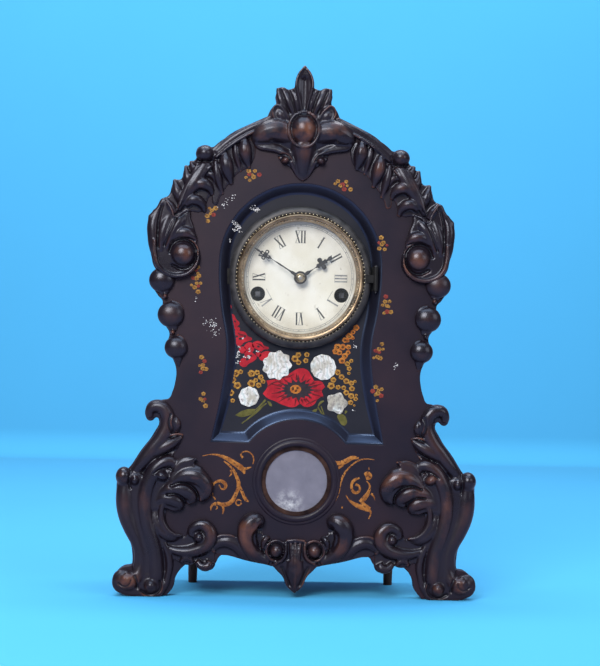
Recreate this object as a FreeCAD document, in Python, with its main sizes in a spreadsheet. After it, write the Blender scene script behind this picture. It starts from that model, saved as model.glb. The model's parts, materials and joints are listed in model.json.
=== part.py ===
import FreeCAD, Part
import Sketcher
import math
import os
from types import SimpleNamespace

V = FreeCAD.Vector
doc = FreeCAD.newDocument("iron_front_clock")
sheet = doc.addObject("Spreadsheet::Sheet", "dims")

# Driving sizes in mm (angles in degrees, tooth counts plain).
values = {
    "overall_height": 470.0,
    "overall_width": 318.0,
    "overall_depth": 122.0,
    "dial_drop": 187.0,
    "window_height": 103.0,
    "relief": 16.0,
    "plate_depth": 14.0,
    "wall": 5.0,
    "panel_drop": 7.0,
    "panel_thick": 5.0,
    "arch_radius": 105.0,
    "shoulder_half": 134.5,
    "waist_half": 106.0,
    "panel_margin": 9.1,
    "panel_waist_step": 8.0,
    "panel_foot": 74.0,
    "sill_rise": 36.0,
    "sill_arch": 57.0,
    "bead_top": 13.0,
    "bead_mid": 12.5,
    "bead_low": 11.0,
    "hole_step": 2.0,
    "window_hole": 31.0,
    "window_sight": 27.2,
    "box_width": 200.0,
    "box_bottom": 44.0,
    "box_rise": 82.0,
    "board": 9.0,
    "back_thick": 8.0,
    "cleat_width": 16.0,
    "cleat_height": 12.0,
    "cleat_depth": 14.0,
    "rail_height": 14.0,
    "rail_reach": 46.0,
    "peg_radius": 5.0,
    "peg_inset": 9.0,
    "peg_tenon": 3.5,
    "dial_margin": 5.0,
    "dial_thick": 0.8,
    "winding_half": 37.2,
    "winding_low": 14.9,
    "winding_hole": 6.5,
    "bezel_radius": 60.4,
    "bezel_depth": 11.7,
    "bezel_wall": 5.4,
    "lip_width": 2.4,
    "sight_width": 5.4,
    "glass_thick": 1.6,
    "hinge_offset": 6.1,
    "hinge_height": 21.5,
    "hinge_radius": 2.2,
    "hinge_bore": 1.0,
    "plate_gap": 16.0,
    "plate_thick": 2.0,
    "plate_space": 34.0,
    "plate_half": 54.0,
    "plate_top": 62.0,
    "pillar_radius": 3.0,
    "pivot_play": 0.04,
    "fit": 0.02,
    "hand_clearance": 2.1,
    "minute_angle": 302.0,
    "hour_length": 34.6,
    "hour_angle": 56.0,
    "main_teeth": 84.0,
    "centre_leaves": 7.0,
    "centre_teeth": 80.0,
    "third_leaves": 8.0,
    "third_teeth": 72.0,
    "escape_leaves": 7.0,
    "escape_teeth": 36.0,
    "escape_radius": 14.0,
    "centre_module": 0.62,
    "third_module": 0.5,
    "third_bearing": 60.0,
    "cannon_teeth": 12.0,
    "minute_teeth": 36.0,
    "minute_leaves": 10.0,
    "hour_teeth": 40.0,
    "motion_module": 0.6,
    "strike_teeth": 78.0,
    "pin_leaves": 8.0,
    "pin_teeth": 72.0,
    "warning_leaves": 8.0,
    "warning_teeth": 60.0,
    "fly_leaves": 6.0,
    "strike_module": 0.8,
    "pin_module": 0.5,
    "warning_module": 0.45,
    "pin_bearing": 80.0,
    "warning_bearing": 75.0,
    "fly_bearing": 120.0,
    "spring_radius": 25.0,
    "spring_width": 16.0,
    "spring_strip": 0.9,
    "bob_radius": 26.0,
    "bob_thick": 9.0,
    "pendulum_setback": 12.0,
    "gong_radius": 30.0,
    "gong_wire": 1.25,
    "gong_standoff": 8.0,
    "hammer_drop": 44.0,
    "hammer_left": 14.0,
    "hammer_reach": 75.0,
    "hammer_side": 24.0,
    "hammer_gap": 2.0,
}

for row, (name, number) in enumerate(values.items(), start=1):
    sheet.set("A%d" % row, name)
    sheet.set("B%d" % row, repr(number))
    sheet.setAlias("B%d" % row, name)
doc.recompute()


class Size:
    def __init__(self, text, number):
        self.text = text
        self.number = float(number)

    def mixed(self, other, sign, number):
        return Size("(%s %s %s)" % (self.text, sign, asSize(other).text), number)

    def __add__(self, other):
        return self.mixed(other, "+", self.number + asSize(other).number)

    def __radd__(self, other):
        return asSize(other) + self

    def __sub__(self, other):
        return self.mixed(other, "-", self.number - asSize(other).number)

    def __rsub__(self, other):
        return asSize(other) - self

    def __mul__(self, other):
        return self.mixed(other, "*", self.number * asSize(other).number)

    def __truediv__(self, other):
        return self.mixed(other, "/", self.number / asSize(other).number)

    def __neg__(self):
        return asSize(0) - self


def asSize(thing):
    if isinstance(thing, Size):
        return thing
    return Size("(%r)" % float(thing), thing)


d = SimpleNamespace(**{name: Size("dims." + name, sheet.get(name)) for name in values})

# Sizes that follow the bezel.
d.bezel_bore = d.bezel_radius - d.bezel_wall
d.bezel_lip = d.bezel_bore - d.lip_width
d.sight_radius = d.bezel_bore - d.sight_width
d.dial_hole = d.bezel_bore - d.hole_step
d.dial_radius = d.dial_hole + d.dial_margin
d.dial_screw_circle = d.dial_hole + d.dial_margin / 2
d.panel_arch = d.bezel_radius + d.panel_margin
d.panel_waist = d.panel_arch - d.panel_waist_step
d.minute_length = d.sight_radius - d.hand_clearance

# Levels shared by the pieces: y runs from front to back, z upwards.
dialZ = d.overall_height - d.dial_drop
windowZ = d.window_height
fieldY = d.relief - d.overall_depth / 2
rearY = fieldY + d.plate_depth
panelY = fieldY + d.panel_drop
panelBackY = panelY + d.panel_thick
boxBackY = d.overall_depth / 2 - d.back_thick
plateY = panelBackY + d.plate_gap
insideY = plateY + d.plate_thick
backPlateY = insideY + d.plate_space
behindY = backPlateY + d.plate_thick
pendulumY = behindY + d.pendulum_setback
gongY = boxBackY - d.gong_standoff
boxHalf = d.box_width / 2
boxInner = boxHalf - d.board
boxTop = dialZ + d.box_rise
boxFloor = d.box_bottom + d.board
boxCeiling = boxTop - d.board

nodes = {}


def bind(thing, prop, size):
    thing.setExpression(prop, asSize(size).text)


def place(thing, x=0, y=0, z=0, turn=None):
    if turn is not None:
        thing.Placement = FreeCAD.Placement(V(0, 0, 0), turn)
    bind(thing, "Placement.Base.x", x)
    bind(thing, "Placement.Base.y", y)
    bind(thing, "Placement.Base.z", z)
    return thing


def block(label, x0, x1, y0, y1, z0, z1):
    box = doc.addObject("Part::Box", label)
    bind(box, "Length", asSize(x1) - x0)
    bind(box, "Width", asSize(y1) - y0)
    bind(box, "Height", asSize(z1) - z0)
    return place(box, x0, y0, z0)


def rod(label, radius, x, y0, y1, z):
    bar = doc.addObject("Part::Cylinder", label)
    bind(bar, "Radius", radius)
    bind(bar, "Height", asSize(y1) - y0)
    return place(bar, x, y0, z, FreeCAD.Rotation(V(1, 0, 0), -90))


def upright(label, radius, x, y, z0, z1):
    bar = doc.addObject("Part::Cylinder", label)
    bind(bar, "Radius", radius)
    bind(bar, "Height", asSize(z1) - z0)
    return place(bar, x, y, z0)


def fused(label, pieces):
    joined = doc.addObject("Part::MultiFuse", label)
    joined.Shapes = pieces
    return joined


def grouped(label, pieces):
    group = doc.addObject("Part::Compound", label)
    group.Links = pieces
    return group


def cut(label, base, tools):
    tool = tools[0] if len(tools) == 1 else grouped(label + "_tools", tools)
    result = doc.addObject("Part::Cut", label)
    result.Base = base
    result.Tool = tool
    return result


def planeOf(body, role):
    return [part for part in body.Origin.OriginFeatures if part.Role == role][0]


def drawLoop(sketch, points):
    first = sketch.GeometryCount
    count = len(points)
    spots = [V(asSize(x).number, asSize(y).number, 0) for x, y in points]
    for i in range(count):
        sketch.addGeometry(Part.LineSegment(spots[i], spots[(i + 1) % count]), False)
    for i in range(count):
        sketch.addConstraint(Sketcher.Constraint("Coincident", first + i, 2, first + (i + 1) % count, 1))
    for i, (x, y) in enumerate(points):
        for kind, size in (("DistanceX", asSize(x)), ("DistanceY", asSize(y))):
            index = sketch.addConstraint(Sketcher.Constraint(kind, first + i, 1, size.number))
            if "dims" in size.text:
                sketch.setExpression("Constraints[%d]" % index, size.text)


def drawCircle(sketch, x, y, radius):
    x, y, radius = asSize(x), asSize(y), asSize(radius)
    at = sketch.addGeometry(Part.Circle(V(x.number, y.number, 0), V(0, 0, 1), radius.number), False)
    for args, size in ((("DistanceX", at, 3), x), (("DistanceY", at, 3), y), (("Radius", at), radius)):
        index = sketch.addConstraint(Sketcher.Constraint(*args, size.number))
        if "dims" in size.text:
            sketch.setExpression("Constraints[%d]" % index, size.text)


def turned(label, profile, x=0, z=0):
    body = doc.addObject("PartDesign::Body", label)
    sketch = body.newObject("Sketcher::SketchObject", label + "_profile")
    sketch.AttachmentSupport = (planeOf(body, "XY_Plane"), [""])
    sketch.MapMode = "FlatFace"
    drawLoop(sketch, profile)
    spun = body.newObject("PartDesign::Revolution", label + "_turn")
    spun.Profile = sketch
    spun.ReferenceAxis = (sketch, ["V_Axis"])
    spun.Angle = 360
    return place(body, x, 0, z)


def plate(label, thick, rear, loop=None, circles=(), z=0, turn=None):
    body = doc.addObject("PartDesign::Body", label)
    sketch = body.newObject("Sketcher::SketchObject", label + "_outline")
    sketch.AttachmentSupport = (planeOf(body, "XZ_Plane"), [""])
    sketch.MapMode = "FlatFace"
    if loop:
        drawLoop(sketch, loop)
    for x, up, radius in circles:
        drawCircle(sketch, x, up, radius)
    pad = body.newObject("PartDesign::Pad", label + "_pad")
    pad.Profile = sketch
    bind(pad, "Length", thick)
    return place(body, 0, rear, z, turn)


def screw(label, x, z, headY, endY, headRadius, headThick, shankRadius):
    forward = asSize(endY).number < asSize(headY).number
    under = asSize(headY) - headThick if forward else asSize(headY) + headThick
    profile = [(0, headY), (headRadius, headY), (headRadius, under), (shankRadius, under),
               (shankRadius, endY), (0, endY)]
    return turned(label, profile, x, z)


def shaped(label, shape):
    thing = doc.addObject("Part::Feature", label)
    thing.Shape = shape
    return thing


def pole(radius, x, y0, y1, z):
    return Part.makeCylinder(radius, y1 - y0, V(x, y0, z), V(0, 1, 0))


def bar(radius, start, end):
    return Part.makeCylinder(radius, (end - start).Length, start, end - start)


def joinShapes(shapes):
    result = shapes[0] if len(shapes) == 1 else shapes[0].multiFuse(shapes[1:])
    result = result.removeSplitter()
    return result.Solids[0] if len(result.Solids) == 1 else result


def toothed(count, module, x, y0, y1, z, phase, leaf=False):
    # phase: angle in degrees of one tooth, from +x towards +z
    count = int(round(count))
    pitch = 2 * math.pi / count
    radius = count * module / 2
    half = (0.34 if leaf else 0.38) * pitch / 2
    top = radius + (0.55 if leaf else 1.0) * module
    foot = radius - (1.4 if leaf else 1.3) * module
    tip = half * (0.35 if leaf else 0.3)
    points = []
    for i in range(count):
        angle = math.radians(phase) + i * pitch
        flank = [(foot, half), (radius, half), (top, tip)]
        for r, turn in [(r, -turn) for r, turn in flank] + flank[::-1]:
            points.append(V(x + r * math.cos(angle + turn), y0, z + r * math.sin(angle + turn)))
    face = Part.Face(Part.makePolygon(points + points[:1]))
    return face.extrude(V(0, y1 - y0, 0))


def wheel(count, module, spot, y0, y1, phase, bore, windows=0, windowRadius=0, windowCircle=0):
    solid = toothed(count, module, spot[0], y0, y1, spot[1], phase)
    cuts = [pole(bore + n.fit, spot[0], y0 - 1, y1 + 1, spot[1])]
    for i in range(windows):
        angle = 2 * math.pi * i / windows
        x = spot[0] + windowCircle * math.cos(angle)
        z = spot[1] + windowCircle * math.sin(angle)
        cuts.append(pole(windowRadius, x, y0 - 1, y1 + 1, z))
    return solid.cut(cuts)


def bearing(here, there):
    return math.degrees(math.atan2(there[1] - here[1], there[0] - here[0]))


def stepFrom(spot, distance, angle):
    turn = math.radians(angle)
    return (spot[0] + distance * math.cos(turn), spot[1] + distance * math.sin(turn))


# Numbers for the pieces that are shaped by formula.
n = SimpleNamespace(**{name: size.number for name, size in vars(d).items()})
dialAt = dialZ.number
windowAt = windowZ.number
field = fieldY.number
rear = rearY.number
panel = panelY.number
panelBack = panelBackY.number
frontFace = plateY.number
inside = insideY.number
backPlate = backPlateY.number
behind = behindY.number
swingY = pendulumY.number
gongAt = gongY.number
half = n.overall_width / 2
top = n.overall_height

# The iron front.
archZ = top - 41 - n.arch_radius


def onArch(x):
    return V(x, 0, archZ + math.sqrt(n.arch_radius ** 2 - x ** 2))


def rightOutline():
    s = n.shoulder_half
    w = n.waist_half
    c = dialAt
    curlX = half - 38.5
    curlZ = 163
    steps = [
        (None, (9, top - 19)),
        (None, (24, top - 22)),
        ((26.5, top - 28), (25, top - 34)),
        ((30, top - 38), (31, top - 45)),
        (None, (38, onArch(38).z)),
        ((60, onArch(60).z), (80, onArch(80).z)),
        ((87, c + 116), (93, c + 110)),
        ((s - 15, c + 84), (s, c + 50)),
        ((s - 0.5, c + 32), (s - 3.5, c + 15)),
        ((s - 2, c - 6), (s - 11, c - 23)),
        ((s - 8.5, c - 38), (s - 18, c - 55)),
        ((s - 16, c - 66), (w + 2, c - 82)),
        ((w, c - 92), (w + 2, c - 103)),
        (None, (curlX - 7.8, curlZ + 7.8)),
        ((curlX + 5, curlZ + 9.8), (curlX + 11, curlZ)),
        ((curlX + 10.2, curlZ - 4), (curlX + 7.1, curlZ - 8.4)),
        ((curlX + 3, curlZ - 4.5), (curlX - 1.5, curlZ - 7.5)),
        ((half - 21, 133), (half - 4, 110)),
        ((half - 1.5, 98), (half - 2.5, 80)),
        ((half - 8, 56), (half - 17, 36)),
        ((half - 15.5, 31), (half - 11, 27.5)),
        ((half, 17), (half - 10, 0)),
        (None, (half - 46, 0)),
        ((half - 53, 13), (half - 62, 29)),
        (None, (88, 33)),
        ((77, 24), (67, 34.5)),
        ((50, 37), (19.5, 29)),
        (None, (10, 20)),
        (None, (0, 4.5)),
    ]
    edges = []
    at = V(0, 0, top)
    for middle, end in steps:
        to = V(end[0], 0, end[1])
        if middle is None:
            edges.append(Part.LineSegment(at, to).toShape())
        else:
            edges.append(Part.Arc(at, V(middle[0], 0, middle[1]), to).toShape())
        at = to
    return edges


def mirrored(shape):
    return shape.mirror(V(0, 0, 0), V(1, 0, 0))


def outlineFace(edges):
    both = edges + [mirrored(edge) for edge in edges]
    return Part.Face(Part.Wire(Part.__sortEdges__(both)))


def slab(face, y0, y1):
    moved = face.copy()
    moved.translate(V(0, y0, 0))
    return moved.extrude(V(0, y1 - y0, 0))


def panelFace(grow):
    c = dialAt
    r = n.panel_arch + grow
    sill = windowAt + n.sill_rise - grow
    bow = n.sill_arch - grow
    corner = math.sqrt(bow ** 2 - (sill - windowAt) ** 2)
    centre = c + 11
    points = [
        ((r * math.sin(math.radians(45)), centre + r * math.cos(math.radians(45))), (r, centre)),
        ((n.panel_arch - 2.2 + grow, c - 25), (n.panel_waist + grow, c - 62)),
        ((n.panel_waist + 3.4 + grow, c - 100), (n.panel_foot + grow, sill)),
        (None, (corner, sill)),
        ((corner * 0.55, windowAt + math.sqrt(bow ** 2 - (corner * 0.55) ** 2)), (0, windowAt + bow)),
    ]
    edges = []
    at = V(0, 0, centre + r)
    for middle, end in points:
        to = V(end[0], 0, end[1])
        if middle is None:
            edges.append(Part.LineSegment(at, to).toShape())
        else:
            edges.append(Part.Arc(at, V(middle[0], 0, middle[1]), to).toShape())
        at = to
    return outlineFace(edges)


def ball(radius, x, z, y=None):
    return Part.makeSphere(radius, V(x, field if y is None else y, z))


def tube(radius, start, middle, end, y=None):
    level = field if y is None else y
    points = [V(p[0], level, p[1]) for p in (start, middle, end)]
    arc = Part.Arc(*points).toShape()
    tangent = arc.tangentAt(arc.FirstParameter)
    section = Part.Wire(Part.makeCircle(radius, points[0], tangent))
    path = Part.Wire(arc)
    pipe = path.makePipeShell([section], True, False)
    return pipe


def castingRelief():
    c = dialAt
    ribRadius = n.arch_radius - 7
    archRib = [(x, archZ + math.sqrt(ribRadius ** 2 - x ** 2)) for x in (36, 57, 76)]
    sill = windowAt + n.sill_rise
    bowRadius = n.sill_arch - 4.4
    sillEnd = math.sqrt(bowRadius ** 2 - (n.sill_rise - 4.4) ** 2)
    side = [
        ball(n.bead_top, 118, c - 4),
        ball(n.bead_mid, 112, c - 38),
        ball(n.bead_low, 106, c - 66),
        ball(14.0, 108, c + 20),
        tube(7.5, (90, c + 101), (112, c + 82), (124, c + 52)),
        tube(5.0, (124, c + 52), (122, c + 34), (112, c + 24)),
        tube(4.0, (10, top - 64), (28, top - 60), (44, top - 72)),
        bar(4.2, V(5, field, top - 52), V(18, field, top - 28)),
        bar(4.2, V(8, field, top - 56), V(25, field, top - 42)),
        tube(7.0, (half - 38, 160), (half - 22, 132), (half - 11, 104)),
        tube(9.0, (half - 11, 104), (half - 12, 66), (half - 26, 34)),
        tube(7.0, (half - 24, 112), (half - 44, 118), (half - 64, 100)),
        ball(n.relief, half - 62, 98),
        tube(6.0, (half - 34, 48), (half - 46, 42), (half - 58, 58)),
        ball(9.0, half - 58, 60),
        ball(9.0, half - 11, 14),
        ball(9.5, half - 32, 13),
        tube(5.0, (52, 70), (44, 84), (34, 76)),
        tube(4.5, (60, 44), (74, 40), (78, 34)),
        tube(4.0, *archRib),
        bar(3.4, V(n.panel_foot + 1, field, sill - 4.4), V(sillEnd, field, sill - 4.4)),
        ball(6.0, 16, 44),
    ]
    centre = [
        ball(11.0, 0, top - 64),
        bar(5.0, V(0, field, top - 54), V(0, field, top - 12)),
        tube(3.4, (-sillEnd, sill - 4.4), (0, windowAt + bowRadius), (sillEnd, sill - 4.4)),
        Part.makeTorus(n.window_hole + 3.6, 4.0, V(0, field, windowAt), V(0, 1, 0)),
        Part.makeCone(7.0, 2.5, 24, V(0, field, 32), V(0, 0, -1)),
    ]
    return side + [mirrored(shape) for shape in side] + centre


bossSpots = []
for side in (-1, 1):
    for level in (boxFloor.number + n.cleat_height / 2, boxCeiling.number - n.cleat_height / 2):
        bossSpots.append((side * (boxInner.number - n.cleat_width / 2), level))
dialScrewSpots = []
for i in range(4):
    dialScrewSpots.append(stepFrom((0, dialAt), n.dial_screw_circle, 45 + 90 * i))

outline = outlineFace(rightOutline())
shell = slab(outline, field, rear)
hollowFace = outline.makeOffset2D(-n.wall)
shell = shell.cut(slab(hollowFace, field + n.wall, rear + 1))
growth = [slab(panelFace(n.wall), field, panelBack)]
growth.append(pole(n.window_hole + 5, 0, field, panelBack - 2, windowAt))
for x, z in bossSpots:
    growth.append(pole(6.0, x, field + n.wall - 1, rear, z))
relief = castingRelief()
behindBox = Part.makeBox(2 * half + 40, 40, top + 40, V(-half - 20, rear, -20))
underBox = Part.makeBox(2 * half + 40, 200, 40, V(-half - 20, -100, -40))
casting = shell.multiFuse(growth + relief)
holes = [slab(panelFace(0), field - n.relief - 1, panel)]
holes.append(pole(n.dial_hole, 0, panel - 1, rear + 1, dialAt))
holes.append(pole(n.window_hole, 0, field - n.relief - 1, rear + 1, windowAt))
for x, z in bossSpots:
    holes.append(pole(1.85, x, rear - 7.5, rear + 1, z))
for x, z in dialScrewSpots:
    holes.append(pole(1.05, x, panelBack - 3.5, panelBack + 1, z))
casting = casting.cut(holes + [behindBox, underBox])
casting = max(casting.Solids, key=lambda solid: solid.Volume)
nodes["front_casting"] = shaped("front_casting", casting)

# The wooden box.
pegSpots = [-(boxHalf - d.peg_inset), boxHalf - d.peg_inset]
pegY = boxBackY - d.peg_inset
leftBoard = block("case_side_left_board", -boxHalf, -boxInner, rearY, boxBackY, boxFloor, boxCeiling)
rightBoard = block("case_side_right_board", boxInner, boxHalf, rearY, boxBackY, boxFloor, boxCeiling)
nodes["case_top"] = block("case_top", -boxHalf, boxHalf, rearY, boxBackY, boxCeiling, boxTop)
floorBoard = block("case_bottom_board", -boxHalf, boxHalf, rearY, boxBackY, d.box_bottom, boxFloor)
sockets = [upright("peg_socket_%d" % i, d.peg_tenon + d.fit, x, pegY, d.box_bottom - 1, d.box_bottom + 7)
           for i, x in enumerate(pegSpots)]
nodes["case_bottom"] = cut("case_bottom", floorBoard, sockets)
pegs = []
for i, x in enumerate(pegSpots):
    leg = doc.addObject("Part::Cone", "peg_%d" % i)
    bind(leg, "Radius1", d.peg_radius - 1)
    bind(leg, "Radius2", d.peg_radius)
    bind(leg, "Height", d.box_bottom)
    place(leg, x, pegY, 0)
    tenon = upright("peg_tenon_%d" % i, d.peg_tenon, x, pegY, d.box_bottom - 1, d.box_bottom + 7)
    pegs.append(fused("rear_peg_%d" % i, [leg, tenon]))
nodes["rear_pegs"] = grouped("rear_pegs", pegs)

backY = d.overall_depth / 2
screwX = boxHalf - d.board / 2
screwLevels = [boxFloor + 15, (boxFloor + boxCeiling) / 2, boxCeiling - 15]
backScrews = []
backHoles = []
sideHoles = {-1: [], 1: []}
for side in (-1, 1):
    for i, level in enumerate(screwLevels):
        tag = "%s_%d" % ("left" if side < 0 else "right", i)
        x = screwX * side
        backScrews.append(screw("back_screw_" + tag, x, level, backY, boxBackY - 10, 3.2, 1.5, 1.5))
        backHoles.append(rod("back_hole_" + tag, 1.55, x, boxBackY - 1, backY + 1, level))
        backHoles.append(rod("back_sink_" + tag, 3.3, x, backY - 1.5, backY + 1, level))
        sideHoles[side].append(rod("side_hole_" + tag, 1.55, x, boxBackY - 10.5, boxBackY + 1, level))
nodes["back_board_screws"] = grouped("back_board_screws", backScrews)
backBlank = block("back_board_blank", -boxHalf, boxHalf, boxBackY, backY, d.box_bottom, boxTop)
nodes["back_board"] = cut("back_board", backBlank, backHoles)
nodes["case_side_left"] = cut("case_side_left", leftBoard, sideHoles[-1])
nodes["case_side_right"] = cut("case_side_right", rightBoard, sideHoles[1])

cleats = []
frontScrews = []
for i, side in enumerate((-1, 1)):
    inner = (boxInner - d.cleat_width) * side
    outer = boxInner * side
    x0, x1 = (outer, inner) if side < 0 else (inner, outer)
    middle = (boxInner - d.cleat_width / 2) * side
    lowCleat = ("low", boxFloor, boxFloor + d.cleat_height)
    highCleat = ("high", boxCeiling - d.cleat_height, boxCeiling)
    for tag, z0, z1 in (lowCleat, highCleat):
        name = "%s_%d" % (tag, i)
        level = (z0 + z1) / 2
        blank = block("cleat_blank_" + name, x0, x1, rearY, rearY + d.cleat_depth, z0, z1)
        hole = rod("cleat_hole_" + name, 1.85, middle, rearY - 1, rearY + d.cleat_depth + 1, level)
        cleats.append(cut("cleat_" + name, blank, [hole]))
        headY = rearY + d.cleat_depth + 2
        frontScrews.append(screw("front_screw_" + name, middle, level, headY, rearY - 7, 3.6, 2, 1.8))
nodes["case_cleats"] = grouped("case_cleats", cleats)
nodes["casting_screws"] = grouped("casting_screws", frontScrews)

# Lower window.
ringOut = d.window_hole - 0.1
ringFront = fieldY + 1.6
ringLip = ringFront + 1
ringRear = panelBackY - 2
nodes["window_ring"] = turned("window_ring", [
    (d.window_sight, ringFront), (ringOut, ringFront), (ringOut, ringRear), (ringOut - 0.9, ringRear),
    (ringOut - 0.9, ringLip), (d.window_sight, ringLip)], 0, windowZ)
nodes["window_glass"] = rod("window_glass", ringOut - 0.95, 0, ringLip, ringLip + d.glass_thick, windowZ)
clips = []
for i in range(3):
    clip = Part.makeBox(6, 1.0, 7.5, V(-3, panelBack - 2, n.window_hole - 3.5))
    clip.rotate(V(0, 0, 0), V(0, 1, 0), 120 * i)
    clip.translate(V(0, 0, windowAt))
    clips.append(clip)
nodes["window_clips"] = shaped("window_clips", Part.makeCompound(clips))

# Pearl pieces on the panel.
pearls = []
pearlSpots = ((-19, 78, 13), (22, 79, 11.5), (-43.4, 106.3, 8.9), (34.8, 110.7, 9.3))
for i, (x, drop, radius) in enumerate(pearlSpots):
    pearls.append(rod("pearl_%d" % i, radius, x, panelY - 0.7, panelY, dialZ - drop))
nodes["pearl_inlays"] = grouped("pearl_inlays", pearls)

# Dial.
spread = d.dial_screw_circle * math.cos(math.radians(45))
dialHoles = [(0, 0, d.dial_radius), (0, 0, 4.2)]
for side in (-1, 1):
    dialHoles.append((d.winding_half * side, -d.winding_low, d.winding_hole))
dialScrews = []
for i, (sideX, sideZ) in enumerate(((1, 1), (-1, 1), (-1, -1), (1, -1))):
    dialHoles.append((spread * sideX, spread * sideZ, 1.05))
    headY = panelBackY + d.dial_thick + 1.2
    level = dialZ + spread * sideZ
    dialScrews.append(screw("dial_screw_%d" % i, spread * sideX, level, headY, panelBackY - 3, 2.2, 1.2, 1))
nodes["dial_plate"] = plate("dial_plate", d.dial_thick, panelBackY + d.dial_thick, None, dialHoles, dialZ)
nodes["dial_screws"] = grouped("dial_screws", dialScrews)

# Bezel door and its hinge.
bezelRear = panelY - 0.3
bezelFront = bezelRear - d.bezel_depth
lipRear = bezelFront + 2.8
nodes["bezel_ring"] = turned("bezel_ring", [
    (d.bezel_bore, bezelRear), (d.bezel_radius, bezelRear), (d.bezel_radius, bezelRear - 2.7),
    (d.bezel_radius - 1.9, bezelFront + 4), (d.bezel_bore + 1.2, bezelFront), (d.bezel_lip + 1, bezelFront),
    (d.bezel_lip, bezelFront + 1.4), (d.bezel_lip, lipRear), (d.bezel_bore, lipRear)], 0, dialZ)
nodes["bezel_glass"] = rod("bezel_glass", d.bezel_bore - 0.1, 0, lipRear, lipRear + d.glass_thick, dialZ)
glassRear = lipRear + d.glass_thick
sightRear = panelY + 0.8
sightOut = d.bezel_bore - 0.05
sightIn = d.bezel_bore - 1.8
nodes["sight_ring"] = turned("sight_ring", [
    (sightOut, glassRear), (sightOut, glassRear + 1.4), (d.sight_radius + 0.7, sightRear),
    (d.sight_radius, sightRear), (sightIn, glassRear + 1), (sightIn, glassRear)], 0, dialZ)

hingeX = d.bezel_radius + d.hinge_offset
hingeY = bezelRear - 8.2
knuckle = d.hinge_height / 6
hingeTop = d.hinge_height / 2


def knucklePiece(label, z0, z1):
    return upright(label, d.hinge_radius, hingeX, hingeY, dialZ + z0, dialZ + z1)


hingeLow = dialZ - hingeTop
hingeHigh = dialZ + hingeTop
armLeft = hingeX - 1.3
armRight = hingeX + 1.3
fixedSolid = fused("hinge_fixed_solid", [
    block("hinge_fixed_base", hingeX - 3.2, armRight, panelY - 1.2, panelY, hingeLow, hingeHigh),
    block("hinge_fixed_arm_low", armLeft, armRight, hingeY, panelY - 1, hingeLow, dialZ - knuckle),
    block("hinge_fixed_arm_high", armLeft, armRight, hingeY, panelY - 1, dialZ + knuckle, hingeHigh),
    knucklePiece("hinge_fixed_knuckle_low", -hingeTop, -knuckle),
    knucklePiece("hinge_fixed_knuckle_high", knuckle, hingeTop)])
nodes["hinge_leaf_fixed"] = cut("hinge_leaf_fixed", fixedSolid, [
    upright("hinge_fixed_bore", d.hinge_bore, hingeX, hingeY, hingeLow - 1, hingeHigh + 1)])
movingSolid = fused("hinge_moving_solid", [
    block("hinge_moving_arm", d.bezel_radius - 4, hingeX, hingeY - 1, hingeY + 1, dialZ - knuckle + 0.1,
          dialZ + knuckle - 0.1),
    knucklePiece("hinge_moving_knuckle", -knuckle + 0.1, knuckle - 0.1)])
ringRoom = turned("hinge_ring_room", [
    (0, bezelRear), (d.bezel_radius, bezelRear), (d.bezel_radius, bezelRear - 2.7),
    (d.bezel_radius - 1.9, bezelFront + 4), (d.bezel_bore + 1.2, bezelFront), (0, bezelFront)], 0, dialZ)
nodes["hinge_leaf_moving"] = cut("hinge_leaf_moving", movingSolid, [
    upright("hinge_moving_bore", d.hinge_bore, hingeX, hingeY, hingeLow - 1, hingeHigh + 1),
    ringRoom])
pinBody = fused("hinge_pin", [
    upright("hinge_pin_shank", d.hinge_bore - 0.05, hingeX, hingeY, hingeLow - 1.6, hingeHigh + 0.2),
    upright("hinge_pin_head", d.hinge_bore + 0.7, hingeX, hingeY, hingeHigh, hingeHigh + 1)])
nodes["hinge_pin"] = pinBody
catchX = -d.bezel_radius - 0.8
nodes["door_catch"] = fused("door_catch", [
    block("catch_foot", catchX - 5.5, catchX, panelY - 0.8, panelY, dialZ - 7, dialZ + 7),
    block("catch_spring", catchX - 0.7, catchX, panelY - 7, panelY - 0.5, dialZ - 7, dialZ + 7)])

# Rails and movement plates.
railScrews = []
railHoles = {"high": [], "low": []}
screwSpots = [("high", -40, 53), ("high", 40, 53), ("low", -20, -53), ("low", 20, -53)]
for i, (rail, x, up) in enumerate(screwSpots):
    level = dialZ + up
    railScrews.append(screw("movement_screw_%d" % i, x, level, insideY + 1.4, plateY - 9, 3.0, 1.4, 1.5))
    railHoles[rail].append(rod("rail_hole_%d" % i, 1.55, x, plateY - 9.5, plateY + 1, level))
nodes["movement_screws"] = grouped("movement_screws", railScrews)
highRail = dialZ + d.rail_reach
lowRail = dialZ - d.rail_reach
railFront = rearY + 2
highBlank = block("rail_high_blank", -boxInner, boxInner, railFront, plateY, highRail, highRail + d.rail_height)
lowBlank = block("rail_low_blank", -boxInner, boxInner, railFront, plateY, lowRail - d.rail_height, lowRail)
nodes["movement_rails"] = grouped("movement_rails", [
    cut("rail_high", highBlank, railHoles["high"]), cut("rail_low", lowBlank, railHoles["low"])])

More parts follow.
